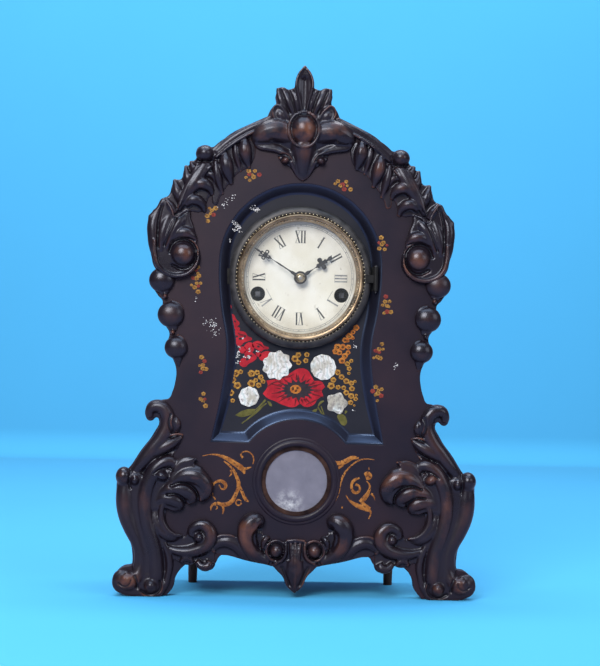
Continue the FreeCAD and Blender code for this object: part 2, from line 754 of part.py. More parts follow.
timeSpot = (n.winding_half, dialAt - n.winding_low)
strikeSpot = (-n.winding_half, dialAt - n.winding_low)
centreSpot = (0.0, dialAt)
mainModule = 2 * math.hypot(n.winding_half, n.winding_low) / (n.main_teeth + n.centre_leaves)
thirdSpot = stepFrom(centreSpot, (n.centre_teeth + n.third_leaves) * n.centre_module / 2, n.third_bearing)
escapeReach = (n.third_teeth + n.escape_leaves) * n.third_module / 2
escapeSpot = (0.0, thirdSpot[1] + math.sqrt(escapeReach ** 2 - thirdSpot[0] ** 2))
vergeSpot = (0.0, escapeSpot[1] + n.escape_radius + 3.2)
pinSpot = stepFrom(strikeSpot, (n.strike_teeth + n.pin_leaves) * n.strike_module / 2, n.pin_bearing)
warningSpot = stepFrom(pinSpot, (n.pin_teeth + n.warning_leaves) * n.pin_module / 2, n.warning_bearing)
flySpot = stepFrom(warningSpot, (n.warning_teeth + n.fly_leaves) * n.warning_module / 2, n.fly_bearing)
motionReach = (n.minute_teeth + n.cannon_teeth) * n.motion_module / 2
motionSpot = (0.0, dialAt - motionReach)
hourModule = 2 * motionReach / (n.hour_teeth + n.minute_leaves)
hammerSpot = (-n.hammer_left, dialAt - n.hammer_drop)
pillarSpots = [(-48, 58), (48, 58), (-10, -56), (10, -56)]

play = n.pivot_play
fit = n.fit
arborRadius = {"third": 1.5, "escape": 1.0, "pin": 1.5, "warning": 1.2, "fly": 0.65}
pivotRadius = {"third": 0.8, "escape": 0.8, "pin": 0.8, "warning": 0.8, "fly": 0.5}
trainSpots = {"third": thirdSpot, "escape": escapeSpot, "pin": pinSpot, "warning": warningSpot,
              "fly": flySpot}


def plateHoles(front):
    holes = [(x, up, 2.05) for x, up in pillarSpots]
    for spot in (timeSpot, strikeSpot):
        holes.append((spot[0], spot[1] - dialAt, 2.5 + play))
    holes.append((0, 0, 1.2 + play))
    for name, spot in trainSpots.items():
        radius = pivotRadius[name]
        if name == "escape" and not front:
            radius = arborRadius[name]
        holes.append((spot[0], spot[1] - dialAt, radius + play))
    holes.append((-d.hammer_left, -d.hammer_drop, (0.8 if front else 1.2) + play))
    if front:
        holes.append((0, -motionReach, 1.2 + fit))
        holes += [(x, up, 1.55) for rail, x, up in screwSpots]
    else:
        holes.append((0, vergeSpot[1] - dialAt, 1.0 + play))
    return holes


plateLoop = [(-d.plate_half, d.plate_top), (-d.plate_half, -26), (-26, -d.plate_top), (26, -d.plate_top),
             (d.plate_half, -26), (d.plate_half, d.plate_top)]
nodes["front_plate"] = plate("front_plate", d.plate_thick, insideY, plateLoop, plateHoles(True), dialZ)
nodes["back_plate"] = plate("back_plate", d.plate_thick, behindY, plateLoop, plateHoles(False), dialZ)
pillars = []
for i, (x, up) in enumerate(pillarSpots):
    pillars.append(turned("pillar_%d" % i, [
        (0, plateY), (2, plateY), (2, insideY), (d.pillar_radius, insideY), (d.pillar_radius, backPlateY),
        (2, backPlateY), (2, behindY), (0, behindY)], x, dialZ + up))
nodes["pillars"] = grouped("pillars", pillars)


def arbor(label, spot, radius, pivot, extra, backReach=None):
    solids = [pole(radius, spot[0], inside + 0.3, backPlate - 0.3, spot[1])]
    solids.append(pole(pivot, spot[0], frontFace, inside + 0.4, spot[1]))
    if backReach is None:
        solids.append(pole(pivot, spot[0], backPlate - 0.4, behind, spot[1]))
    else:
        solids.append(pole(radius, spot[0], backPlate - 0.4, backReach, spot[1]))
    nodes[label] = shaped(label, joinShapes(solids + extra))


def leafed(count, module, spot, y0, y1, partner):
    phase = bearing(spot, partner) + 180 / count
    return toothed(count, module, spot[0], y0, y1, spot[1], phase, True)


# Motion work and hands.
nodes["centre_arbor"] = rod("centre_arbor", 1.2, 0, panelY - 5.5, behindY, dialZ)
cannonTeeth = toothed(n.cannon_teeth, n.motion_module, 0, frontFace - 3.6, frontFace - 0.8, dialAt, 90, True)
cannonPipe = pole(2.0, 0, panel - 2.4, frontFace - 0.4, dialAt)
cannon = joinShapes([cannonPipe, cannonTeeth]).cut(pole(1.2 + fit, 0, panel - 6, frontFace + 1, dialAt))
nodes["cannon_pinion"] = shaped("cannon_pinion", cannon)
studZ = dialZ - (d.minute_teeth + d.cannon_teeth) * d.motion_module / 2
nodes["minute_stud"] = rod("minute_stud", 1.2, 0, plateY - 8.5, insideY, studZ)
minutePhase = 90 + 180 / n.minute_teeth * (0 if int(n.cannon_teeth) % 2 else 1)
motionZ = motionSpot[1]
minuteTeeth = toothed(
    n.minute_teeth, n.motion_module, 0, frontFace - 3.2, frontFace - 1.8, motionZ, minutePhase)
minuteLeaves = toothed(n.minute_leaves, hourModule, 0, frontFace - 7.2, frontFace - 3.1, motionZ, 90, True)
minuteBore = pole(1.2 + play, 0, frontFace - 8, frontFace, motionZ)
nodes["minute_wheel"] = shaped("minute_wheel", joinShapes([minuteTeeth, minuteLeaves]).cut(minuteBore))
hourPhase = -90 + 180 / n.hour_teeth
hourTeeth = toothed(n.hour_teeth, hourModule, 0, frontFace - 6.6, frontFace - 5.2, dialAt, hourPhase)
hourPipe = pole(3.2, 0, panel + 0.4, frontFace - 5.2, dialAt)
hourWheel = joinShapes([hourTeeth, hourPipe]).cut(pole(2.0 + play, 0, panel - 6, frontFace, dialAt))
nodes["hour_wheel"] = shaped("hour_wheel", hourWheel)


def handLoop(length, cross, width, arm):
    loop = [(width * 1.1, 0), (width * 0.8, cross - arm), (arm * 0.55, cross - arm), (width, cross - width),
            (arm, cross - arm * 0.5), (arm, cross + arm * 0.5), (width, cross + width),
            (arm * 0.55, cross + arm), (width * 0.8, cross + arm), (0.35, length)]
    left = [(-asSize(x), z) for x, z in reversed(loop)]
    return loop + left


def hand(label, length, cross, width, arm, eye, bore, rearAt, angle):
    outlineBody = plate(label + "_blade", 0.8, rearAt, handLoop(length, cross, width, arm), [], dialZ,
                        FreeCAD.Rotation(V(0, 1, 0), angle))
    eyeDisc = rod(label + "_eye", eye, 0, rearAt - 0.8, rearAt, dialZ)
    hub = fused(label + "_solid", [outlineBody, eyeDisc])
    return cut(label, hub, [rod(label + "_bore", d.fit + bore, 0, rearAt - 3, rearAt + 3, dialZ)])


hourCross = d.hour_length - 11.6
minuteCross = d.minute_length - 13.5
nodes["hour_hand"] = hand(
    "hour_hand", d.hour_length, hourCross, 1.0, 6.0, 5.4, 3.2, panelY + 1.2, n.hour_angle)
nodes["minute_hand"] = hand(
    "minute_hand", d.minute_length, minuteCross, 0.9, 5.4, 4.6, 2.0, panelY - 1.6, n.minute_angle)
nodes["hand_collet"] = turned("hand_collet", [
    (d.fit + 1.2, panelY - 2.4), (5.2, panelY - 2.4), (5.2, panelY - 3.0), (3.2, panelY - 4.4),
    (d.fit + 1.2, panelY - 4.4)], 0, dialZ)

# Going side.
squareEnd = 4.4


def windingArbor(label, spot, ratchetY):
    square = Part.makeBox(squareEnd, frontFace - panelBack - 0.4, squareEnd,
                          V(spot[0] - squareEnd / 2, panelBack, spot[1] - squareEnd / 2))
    core = pole(2.5, spot[0], frontFace - 0.5, behind + 1, spot[1])
    ratchet = []
    for i in range(20):
        angle = 2 * math.pi * i / 20
        near = angle + 2 * math.pi / 20 * 0.98
        ratchet.append(V(spot[0] + 9 * math.cos(angle), ratchetY, spot[1] + 9 * math.sin(angle)))
        ratchet.append(V(spot[0] + 7.6 * math.cos(near), ratchetY, spot[1] + 7.6 * math.sin(near)))
    teeth = Part.Face(Part.makePolygon(ratchet + ratchet[:1])).extrude(V(0, 1.5, 0))
    nodes[label] = shaped(label, joinShapes([core, square, teeth]))


def springBand(spot, y0, inner, gain, strip, width, turns):
    # half circles whose centres step aside, so that each starts where the last one ends
    bands = []
    startX = spot[0] + inner
    way = 1
    for i in range(2 * turns):
        radius = inner + gain * (i + 0.5)
        centre = startX - way * radius
        ring = Part.makeCylinder(radius + strip / 2, width, V(centre, y0, spot[1]), V(0, 1, 0))
        ring = ring.cut(Part.makeCylinder(radius - strip / 2, width, V(centre, y0, spot[1]), V(0, 1, 0)))
        size = 3 * n.spring_radius
        low = spot[1] if way > 0 else spot[1] - size
        bands.append(ring.common(Part.makeBox(2 * size, width, size, V(centre - size, y0, low))))
        startX = centre - way * radius
        way = -way
    return joinShapes(bands)


timeWheelY = inside + 2.5
strikeWheelY = inside + 5.6
centreWheelY = backPlate - 5.0
pinWheelY = backPlate - 2.4
lightY = inside + 18.0

windingArbor("time_winding_arbor", timeSpot, timeWheelY + 2.1)
windingArbor("strike_winding_arbor", strikeSpot, strikeWheelY + 2.1)
nodes["time_main_wheel"] = shaped("time_main_wheel", wheel(
    n.main_teeth, mainModule, timeSpot, timeWheelY, timeWheelY + 1.5,
    bearing(timeSpot, centreSpot), 2.5 + play))
nodes["strike_main_wheel"] = shaped("strike_main_wheel", wheel(
    n.strike_teeth, n.strike_module, strikeSpot, strikeWheelY, strikeWheelY + 1.5,
    bearing(strikeSpot, pinSpot), 2.5 + play))
nodes["time_mainspring"] = shaped("time_mainspring", springBand(
    timeSpot, inside + 10.5, 3.6, (n.spring_radius - 3.6) / 14, n.spring_strip, n.spring_width, 7))
nodes["strike_mainspring"] = shaped("strike_mainspring", springBand(
    strikeSpot, inside + 10.5, 3.6, (n.spring_radius - 3.6) / 14, n.spring_strip, n.spring_width, 7))

centrePinion = leafed(n.centre_leaves, mainModule, centreSpot, timeWheelY - 0.4, timeWheelY + 1.9, timeSpot)
centrePipe = pole(2.0, 0, timeWheelY - 0.6, centreWheelY + 3.0, dialAt)
centreTeeth = wheel(n.centre_teeth, n.centre_module, centreSpot, centreWheelY, centreWheelY + 1.5,
                    bearing(centreSpot, thirdSpot), 1.5, 5, 6.5, 14.5)
centreWheel = joinShapes([centrePipe, centrePinion, centreTeeth])
centreBore = pole(1.2 + play, 0, inside, backPlate, dialAt)
nodes["centre_wheel"] = shaped("centre_wheel", centreWheel.cut(centreBore))

arbor("third_arbor", thirdSpot, arborRadius["third"], pivotRadius["third"], [
    leafed(n.third_leaves, n.centre_module, thirdSpot, centreWheelY - 0.6, centreWheelY + 2.1, centreSpot)])
nodes["third_wheel"] = shaped("third_wheel", wheel(
    n.third_teeth, n.third_module, thirdSpot, lightY, lightY + 1.2, bearing(thirdSpot, escapeSpot),
    arborRadius["third"], 5, 4.6, 10.5))
arbor("escape_arbor", escapeSpot, arborRadius["escape"], pivotRadius["escape"], [
    leafed(n.escape_leaves, n.third_module, escapeSpot, lightY - 0.6, lightY + 1.8, thirdSpot)], behind + 3)


def escapeShape():
    points = []
    count = int(n.escape_teeth)
    for i in range(count):
        angle = 2 * math.pi * i / count
        step = 2 * math.pi / count
        tip = n.escape_radius
        for radius, turn in ((tip, 0.0), (tip, 0.1 * step), (tip - 2.2, 0.75 * step)):
            points.append(V(escapeSpot[0] + radius * math.cos(angle + turn), behind + 1.4,
                            escapeSpot[1] + radius * math.sin(angle + turn)))
    solid = Part.Face(Part.makePolygon(points + points[:1])).extrude(V(0, 1.0, 0))
    cuts = [pole(arborRadius["escape"] + fit, escapeSpot[0], behind, behind + 4, escapeSpot[1])]
    for i in range(5):
        x, z = stepFrom(escapeSpot, 6.6, 72 * i)
        cuts.append(pole(3.0, x, behind, behind + 4, z))
    return solid.cut(cuts)


nodes["escape_wheel"] = shaped("escape_wheel", escapeShape())

crutchZ = dialAt + 15
strip = Part.makeCylinder(n.escape_radius + 4.2, 1.2, V(0, behind + 1.3, escapeSpot[1]), V(0, 1, 0))
strip = strip.cut(Part.makeCylinder(n.escape_radius + 2.2, 3, V(0, behind, escapeSpot[1]), V(0, 1, 0)))
strip = strip.common(Part.makeBox(26, 4, 30, V(-13, behind, escapeSpot[1] + 8)))
verge = joinShapes([
    strip,
    pole(2.2, 0, behind + 1.0, behind + 5.2, vergeSpot[1]),
    pole(1.0, 0, backPlate, behind + 2, vergeSpot[1]),
    bar(0.8, V(0, behind + 3.8, vergeSpot[1]), V(0, behind + 3.8, crutchZ)),
    bar(1.1, V(-3.6, behind + 3.8, crutchZ), V(3.6, behind + 3.8, crutchZ)),
    bar(0.6, V(-2.2, behind + 3.8, crutchZ), V(-2.2, swingY + 2, crutchZ)),
    bar(0.6, V(2.2, behind + 3.8, crutchZ), V(2.2, swingY + 2, crutchZ))])
nodes["verge"] = shaped("verge", verge)

postLow = dialZ + d.plate_top - 3
nodes["suspension_post"] = block("suspension_post", -4, 4, behindY, pendulumY + 3, postLow, postLow + 6)
rodEnd = windowZ - d.bob_radius - 10
nodes["pendulum_rod"] = fused("pendulum_rod", [
    block("suspension_strip", -2, 2, pendulumY - 0.3, pendulumY + 0.3, postLow - 14, postLow - 0.2),
    upright("pendulum_wire", 0.95, 0, pendulumY, rodEnd, postLow - 12)])
lensEdge = 1.4
bobBlank = turned("pendulum_bob_lens", [
    (0, pendulumY - d.bob_thick / 2), (d.bob_radius * 0.6, pendulumY - d.bob_thick / 2 + 0.8),
    (d.bob_radius, pendulumY - lensEdge), (d.bob_radius, pendulumY + lensEdge),
    (d.bob_radius * 0.6, pendulumY + d.bob_thick / 2 - 0.8), (0, pendulumY + d.bob_thick / 2)], 0, windowZ)
nodes["pendulum_bob"] = cut("pendulum_bob", bobBlank, [
    upright("bob_bore", d.fit + 0.95, 0, pendulumY, windowZ - d.bob_radius - 2, windowZ + d.bob_radius + 2)])
nutTop = windowZ - d.bob_radius
nutBlank = upright("rating_nut_blank", 4.0, 0, pendulumY, nutTop - 4, nutTop)
nodes["rating_nut"] = cut("rating_nut", nutBlank, [
    upright("rating_nut_bore", d.fit + 0.95, 0, pendulumY, nutTop - 6, nutTop + 2)])

# Strike side.
arbor("pin_arbor", pinSpot, arborRadius["pin"], pivotRadius["pin"], [
    leafed(n.pin_leaves, n.strike_module, pinSpot, strikeWheelY - 0.4, strikeWheelY + 1.9, strikeSpot)])
pinTeeth = wheel(n.pin_teeth, n.pin_module, pinSpot, pinWheelY, pinWheelY + 1.2,
                 bearing(pinSpot, warningSpot), arborRadius["pin"])
liftPins = []
for i in range(8):
    x, z = stepFrom(pinSpot, 13, 45 * i)
    liftPins.append(pole(0.7, x, pinWheelY - 0.8, pinWheelY + 0.2, z))
nodes["pin_wheel"] = shaped("pin_wheel", joinShapes([pinTeeth] + liftPins))
arbor("warning_arbor", warningSpot, arborRadius["warning"], pivotRadius["warning"], [
    leafed(n.warning_leaves, n.pin_module, warningSpot, pinWheelY - 0.6, pinWheelY + 1.7, pinSpot)])
nodes["warning_wheel"] = shaped("warning_wheel", wheel(
    n.warning_teeth, n.warning_module, warningSpot, lightY, lightY + 1.2, bearing(warningSpot, flySpot),
    arborRadius["warning"], 4, 3.8, 7.6))
vanes = Part.makeBox(18, 10, 0.6, V(flySpot[0] - 9, lightY + 4, flySpot[1] - 0.3))
arbor("fly", flySpot, arborRadius["fly"], pivotRadius["fly"], [
    leafed(n.fly_leaves, n.warning_module, flySpot, lightY - 0.6, lightY + 1.8, warningSpot), vanes])

headSpot = (hammerSpot[0] - n.hammer_side, hammerSpot[1] - n.hammer_reach)
hammer = joinShapes([
    pole(0.8, hammerSpot[0], frontFace, inside + 0.4, hammerSpot[1]),
    pole(1.5, hammerSpot[0], inside + 0.3, backPlate - 0.3, hammerSpot[1]),
    pole(1.2, hammerSpot[0], backPlate - 0.4, gongAt + 2, hammerSpot[1]),
    pole(2.4, hammerSpot[0], gongAt - 2, gongAt + 2, hammerSpot[1]),
    bar(1.1, V(hammerSpot[0], gongAt, hammerSpot[1]), V(headSpot[0], gongAt, headSpot[1])),
    bar(4.5, V(headSpot[0] - 6, gongAt, headSpot[1]), V(headSpot[0] + 6, gongAt, headSpot[1]))])
nodes["hammer"] = shaped("hammer", hammer)

gongSpot = (headSpot[0] + 6 + n.hammer_gap + n.gong_wire + n.gong_radius, headSpot[1])
gongPieces = []
edgeX = gongSpot[0] - n.gong_radius
way = 1
for i in range(9):
    radius = n.gong_radius - 2.6 * i
    centre = V(edgeX + way * radius, gongAt, gongSpot[1])
    if way > 0:
        arc = Part.Arc(V(edgeX, gongAt, gongSpot[1]), centre + V(0, 0, radius), centre + V(radius, 0, 0))
    else:
        arc = Part.Arc(V(edgeX, gongAt, gongSpot[1]), centre - V(0, 0, radius), centre - V(radius, 0, 0))
    gongPieces.append(arc.toShape())
    edgeX = edgeX + 2 * way * radius
    way = -way
path = Part.Wire(gongPieces)
start = path.OrderedVertexes[0].Point
ring = Part.Wire(Part.makeCircle(n.gong_wire, start, V(0, 0, 1)))
coil = path.makePipeShell([ring], True, False)
postSpot = (edgeX, gongSpot[1])
post = joinShapes([pole(5.0, postSpot[0], gongAt - 3, boxBackY.number, postSpot[1]),
                   pole(11.0, postSpot[0], boxBackY.number - 3, boxBackY.number, postSpot[1])])
coilEnd = pole(5.0 + fit, postSpot[0], gongAt - 3, boxBackY.number, postSpot[1])
nodes["gong_coil"] = shaped("gong_coil", coil.cut(coilEnd))
nodes["gong_base"] = shaped("gong_base", post)

doc.recompute()
os.makedirs("parts", exist_ok=True)
problems = []
for thing in doc.Objects:
    if "Invalid" in thing.State or "Error" in thing.State:
        problems.append("%s: %s" % (thing.Name, thing.State))
for name, thing in nodes.items():
    shape = thing.Shape
    if shape.isNull() or not shape.isValid() or not shape.Solids:
        problems.append("%s: shape not valid" % name)
        continue
    shape.exportStep("parts/%s.step" % name)
print("nodes written: %d" % len(nodes))
for line in problems:
    print("problem", line)
if problems:
    raise SystemExit(1)
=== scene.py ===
import bmesh
import bpy
import json
import random
from math import acos, atan2, cos, hypot, radians, sin, sqrt, tau
from mathutils import Matrix, Vector
from mathutils.kdtree import KDTree

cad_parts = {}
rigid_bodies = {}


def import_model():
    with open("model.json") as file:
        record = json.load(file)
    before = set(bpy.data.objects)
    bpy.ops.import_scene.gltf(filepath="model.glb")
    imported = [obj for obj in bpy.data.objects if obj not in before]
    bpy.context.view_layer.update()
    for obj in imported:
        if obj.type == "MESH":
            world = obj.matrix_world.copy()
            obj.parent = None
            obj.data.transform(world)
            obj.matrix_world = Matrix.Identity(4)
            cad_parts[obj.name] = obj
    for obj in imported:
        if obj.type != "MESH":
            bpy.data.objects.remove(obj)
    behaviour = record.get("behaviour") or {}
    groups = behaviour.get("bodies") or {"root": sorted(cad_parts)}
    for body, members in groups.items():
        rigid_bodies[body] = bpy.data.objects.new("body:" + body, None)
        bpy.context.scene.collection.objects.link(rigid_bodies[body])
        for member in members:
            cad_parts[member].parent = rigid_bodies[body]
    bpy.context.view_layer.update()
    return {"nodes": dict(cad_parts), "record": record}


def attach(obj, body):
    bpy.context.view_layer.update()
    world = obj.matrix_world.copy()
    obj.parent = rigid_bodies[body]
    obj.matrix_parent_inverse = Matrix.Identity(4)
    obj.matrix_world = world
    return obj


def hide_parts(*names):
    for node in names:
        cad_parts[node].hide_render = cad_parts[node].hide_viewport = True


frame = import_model()
scene = bpy.context.scene
print("frame loaded:", len(frame["nodes"]), "nodes")

mm = 0.001
levels = {"field": -45.0, "fieldBack": -40.0, "panel": -38.0, "panelBack": -33.2}
spots = {"dial": (0.0, 283.0), "window": (0.0, 103.0)}
weld = {"slab": 0.01, "paint": 0.001, "turned": 1e-4}  # points nearer than this become one, in mm
flatFront = 0.9998  # faces squarer to the viewer than this shade flat
# edges bent more than this many degrees shade sharp
sharps = {"field": 38, "paint": 40, "pearl": 50, "turned": 40, "beads": 60, "ink": 30, "hand": 40}


# Drawing happens flat in mm: x across, y up, z towards the viewer. This stands it up in the frame.
def standUp(level):
    return Matrix(((mm, 0, 0, 0), (0, 0, -mm, level * mm), (0, mm, 0, 0), (0, 0, 0, 1)))


# Turned shapes are drawn in mm about the y axis, and this takes them to a spot on the clock.
def atSpot(spot):
    return Matrix.Translation((spot[0] * mm, 0, spot[1] * mm)) @ Matrix.Scale(mm, 4)


def lifted(lift):
    return Matrix.Translation((0, 0, lift))


def onCircle(spot, wide, turn, high=None):
    return spot[0] + wide * cos(turn), spot[1] + (wide if high is None else high) * sin(turn)


def circleLoop(spot, radius, count=16):
    return [onCircle(spot, radius, tau * i / count) for i in range(count)]


def bothSides(half):
    return half + [(-p[0],) + tuple(p[1:]) for p in reversed(half) if abs(p[0]) > 1e-6]


def meshOf(name, shape):
    mesh = bpy.data.meshes.new(name)
    shape.to_mesh(mesh)
    shape.free()
    return mesh


def joinShapes(shape, other, place=Matrix()):
    bmesh.ops.transform(other, matrix=place, verts=other.verts)
    mesh = meshOf("joining", other)
    shape.from_mesh(mesh)
    bpy.data.meshes.remove(mesh)


def mirrored(shape):
    other = shape.copy()
    bmesh.ops.scale(other, vec=(-1, 1, 1), verts=other.verts)
    bmesh.ops.reverse_faces(other, faces=other.faces)
    return other


def linked(name, data):
    thing = bpy.data.objects.new(name, data)
    scene.collection.objects.link(thing)
    return thing


# The final shape of a curve, or of a mesh with modifiers on it.
def settled(data, modifiers=()):
    holder = linked("drawing", data)
    for kind, settings in modifiers:
        modifier = holder.modifiers.new(kind, kind)
        for key, value in settings.items():
            setattr(modifier, key, value)
    graph = bpy.context.evaluated_depsgraph_get()
    mesh = bpy.data.meshes.new_from_object(holder.evaluated_get(graph))
    shape = bmesh.new()
    shape.from_mesh(mesh)
    bpy.data.batch_remove([holder, data, mesh])
    return shape


# Melts strokes and lobes into one skin, as a modeller's wax would be.
def melted(shape, voxel):
    return settled(meshOf("wax", shape), (("REMESH", {"mode": "VOXEL", "voxel_size": voxel}),
                                          ("SMOOTH", {"factor": 0.5, "iterations": 2})))


# Smooth lines through knots, each a spot and the kind of its handles.
def bezierCurve(lines, steps, dimensions, closed):
    curve = bpy.data.curves.new("drawing", "CURVE")
    curve.dimensions = dimensions
    curve.resolution_u = steps
    for line in lines:
        spline = curve.splines.new("BEZIER")
        spline.bezier_points.add(len(line) - 1)
        spline.use_cyclic_u = closed
        for knot, (spot, kind) in zip(spline.bezier_points, line):
            knot.co = spot
            knot.handle_left_type = knot.handle_right_type = kind
    return curve


# A stroke is a list of (x, y, radius, lift); it swells and tapers along a smooth line.
def addStrokes(shape, strokes, sides=3, steps=7, closed=False):
    lines = [[((x, y, lift), "AUTO") for x, y, radius, lift in line] for line in strokes]
    curve = bezierCurve(lines, steps, "3D", closed)
    curve.bevel_depth = 1.0
    curve.bevel_resolution = sides
    curve.use_fill_caps = not closed
    for spline, line in zip(curve.splines, strokes):
        spline.radius_interpolation = "CARDINAL"
        for knot, point in zip(spline.bezier_points, line):
            knot.radius = point[2]
    joinShapes(shape, settled(curve))


# Flat outlines: points are (x, y) on a smooth line, or (x, y, 1) at a corner.
def outlineCurve(loops, steps=5):
    lines = [[((p[0], p[1], 0), "VECTOR" if len(p) > 2 else "AUTO") for p in loop] for loop in loops]
    return bezierCurve(lines, steps, "2D", True)


def slabPart(loops, thick, roundOff, steps=5, arcs=2, gap=weld["slab"]):
    curve = outlineCurve(loops, steps)
    curve.fill_mode = "BOTH"
    curve.extrude = thick / 2 - roundOff
    curve.bevel_depth = roundOff
    curve.bevel_resolution = arcs
    curve.offset = -roundOff
    part = settled(curve)
    bmesh.ops.remove_doubles(part, verts=part.verts, dist=gap)
    return part


def addSlab(shape, loops, front, back, roundOff, steps=5):
    joinShapes(shape, slabPart(loops, back - front, roundOff, steps), standUp((front + back) / 2))


# A turned piece: profile points are (radius, y) in mm, spun about the y axis through a spot.
def addTurned(shape, profile, spot, steps=128):
    part = bmesh.new()
    verts = [part.verts.new((radius, y, 0)) for radius, y in profile]
    edges = [part.edges.new(pair) for pair in zip(verts, verts[1:] + verts[:1])]
    bmesh.ops.spin(part, geom=verts + edges, cent=(0, 0, 0), axis=(0, 1, 0), angle=tau,
                   steps=steps, use_merge=True)
    bmesh.ops.remove_doubles(part, verts=part.verts, dist=weld["turned"])
    bmesh.ops.recalc_face_normals(part, faces=part.faces)
    joinShapes(shape, part, atSpot(spot))


def finishPiece(name, shape, look, body="case", sharp=None, replaces=()):
    mesh = meshOf(name, shape)
    mesh.shade_smooth()
    if sharp is not None:
        mesh.set_sharp_from_angle(angle=radians(sharp))
    for face in mesh.polygons:
        face.use_smooth = abs(face.normal.y) < flatFront
    mesh.materials.append(made[look])
    piece = linked(name, mesh)
    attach(piece, body)
    for node in replaces:
        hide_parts(node)


# Shader helpers: an input is a socket to link or a value to set; colours are (red, green, blue).
def feed(tree, node, inputs):
    for key, value in inputs.items():
        if isinstance(value, bpy.types.NodeSocket):
            tree.links.new(value, node.inputs[key])
        else:
            node.inputs[key].default_value = (*value, 1) if node.inputs[key].type == "RGBA" else value


def addNode(tree, kind, inputs, **settings):
    node = tree.nodes.new("ShaderNode" + kind)
    for key, value in settings.items():
        setattr(node, key, value)
    feed(tree, node, inputs)
    return node


def objectSpot(tree):
    return addNode(tree, "TexCoord", {}).outputs["Object"]


def addNoise(tree, scale, detail, rough=0.5):
    return addNode(tree, "TexNoise", {"Vector": objectSpot(tree), "Scale": scale, "Detail": detail,
                                      "Roughness": rough}).outputs["Fac"]


def addRange(tree, value, low, high, first=0.0, last=1.0, kind="LINEAR"):
    return addNode(tree, "MapRange", {"Value": value, "From Min": low, "From Max": high, "To Min": first,
                                      "To Max": last}, interpolation_type=kind).outputs[0]


def addMaths(tree, operation, first, second):
    return addNode(tree, "Math", {0: first, 1: second}, operation=operation).outputs[0]


def distanceFrom(tree, spot):
    return addNode(tree, "VectorMath", {0: objectSpot(tree), 1: spot}, operation="DISTANCE").outputs["Value"]


def mixColour(tree, mask, first, second):
    return addNode(tree, "Mix", {0: mask, 6: first, 7: second}, data_type="RGBA").outputs[2]


# Stops are (place, colour), or (place, value) for greys.
def addRamp(tree, source, stops):
    node = addNode(tree, "ValToRGB", {"Fac": source})
    elements = node.color_ramp.elements
    while len(elements) < len(stops):
        elements.new(0.5)
    for element, (place, colour) in zip(elements, stops):
        element.position = place
        element.color = (*colour, 1) if isinstance(colour, tuple) else (colour, colour, colour, 1)
    return node.outputs["Color"]


def newGroup(name, inputs, outputs):
    group = bpy.data.node_groups.new(name, "ShaderNodeTree")
    for way, labels in (("INPUT", inputs), ("OUTPUT", outputs)):
        for label in labels:
            group.interface.new_socket(label, in_out=way, socket_type="NodeSocketFloat")
    return group, group.nodes.new("NodeGroupInput").outputs, group.nodes.new("NodeGroupOutput")


# Rubbed edges: where the skin is convex or stands proud, broken up by a cloudy mask; and painted shade
# darkening its hollows, where the skin is concave.
def makeEdgeRubAndShade():
    proud, cloudy, shadeBend = (-0.0505, -0.0580), (0.45, 0.62), (0.492, 0.44)
    group, came, out = newGroup("edgeRubAndShade", ("Start", "End", "Cloud Scale"), ("Mask", "Hollow Shade"))
    bend = addNode(group, "NewGeometry", {}).outputs["Pointiness"]
    edge = addRange(group, bend, came["Start"], came["End"], kind="SMOOTHSTEP")
    depth = addNode(group, "SeparateXYZ", {0: objectSpot(group)}).outputs["Y"]
    high = addRange(group, depth, *proud, 0.0, 0.75, "SMOOTHSTEP")
    patch = addRange(group, addNoise(group, came["Cloud Scale"], 5.0, 0.62), *cloudy)
    mask = addMaths(group, "MULTIPLY", addMaths(group, "MAXIMUM", edge, high), patch)
    feed(group, out, {"Mask": mask, "Hollow Shade": addRange(group, bend, *shadeBend, kind="SMOOTHSTEP")})
    return group


# Cloudy unevenness: a slow mask, the same spread between two values, and a fine height.
def makeMottle():
    inputs, outputs = ("Slow Scale", "Fine Scale", "Low", "High"), ("Cloud", "Spread", "Fine")
    group, came, out = newGroup("mottle", inputs, outputs)
    cloud = addRange(group, addNoise(group, came["Slow Scale"], 4.0, 0.55), 0.32, 0.68)
    spread = addRange(group, cloud, 0.0, 1.0, came["Low"], came["High"])
    fine = addNoise(group, came["Fine Scale"], 3.0, 0.6)
    feed(group, out, {"Cloud": cloud, "Spread": spread, "Fine": fine})
    return group


edgeRubAndShade = makeEdgeRubAndShade()
mottle = makeMottle()
made = {}
glassBend = 1.5  # how far glass and varnish bend light


def placeMottle(tree, slow, fine, low, high):
    return addNode(tree, "Group", {"Slow Scale": slow, "Fine Scale": fine, "Low": low, "High": high},
                   node_tree=mottle).outputs


def newMaterial(name, settings):
    made[name] = bpy.data.materials.new(name)
    made[name].use_nodes = True
    tree = made[name].node_tree
    feed(tree, tree.nodes["Principled BSDF"], settings)
    return tree


# Links what varies over a surface to the material's own shader.
def dress(tree, colour, rough, bump=None):
    shader = tree.nodes["Principled BSDF"]
    feed(tree, shader, {"Base Color": colour, "Roughness": rough})
    if bump:
        height, strength, depth = bump
        relief = addNode(tree, "Bump", {"Strength": strength, "Distance": depth, "Height": height})
        feed(tree, shader, {"Normal": relief.outputs[0]})
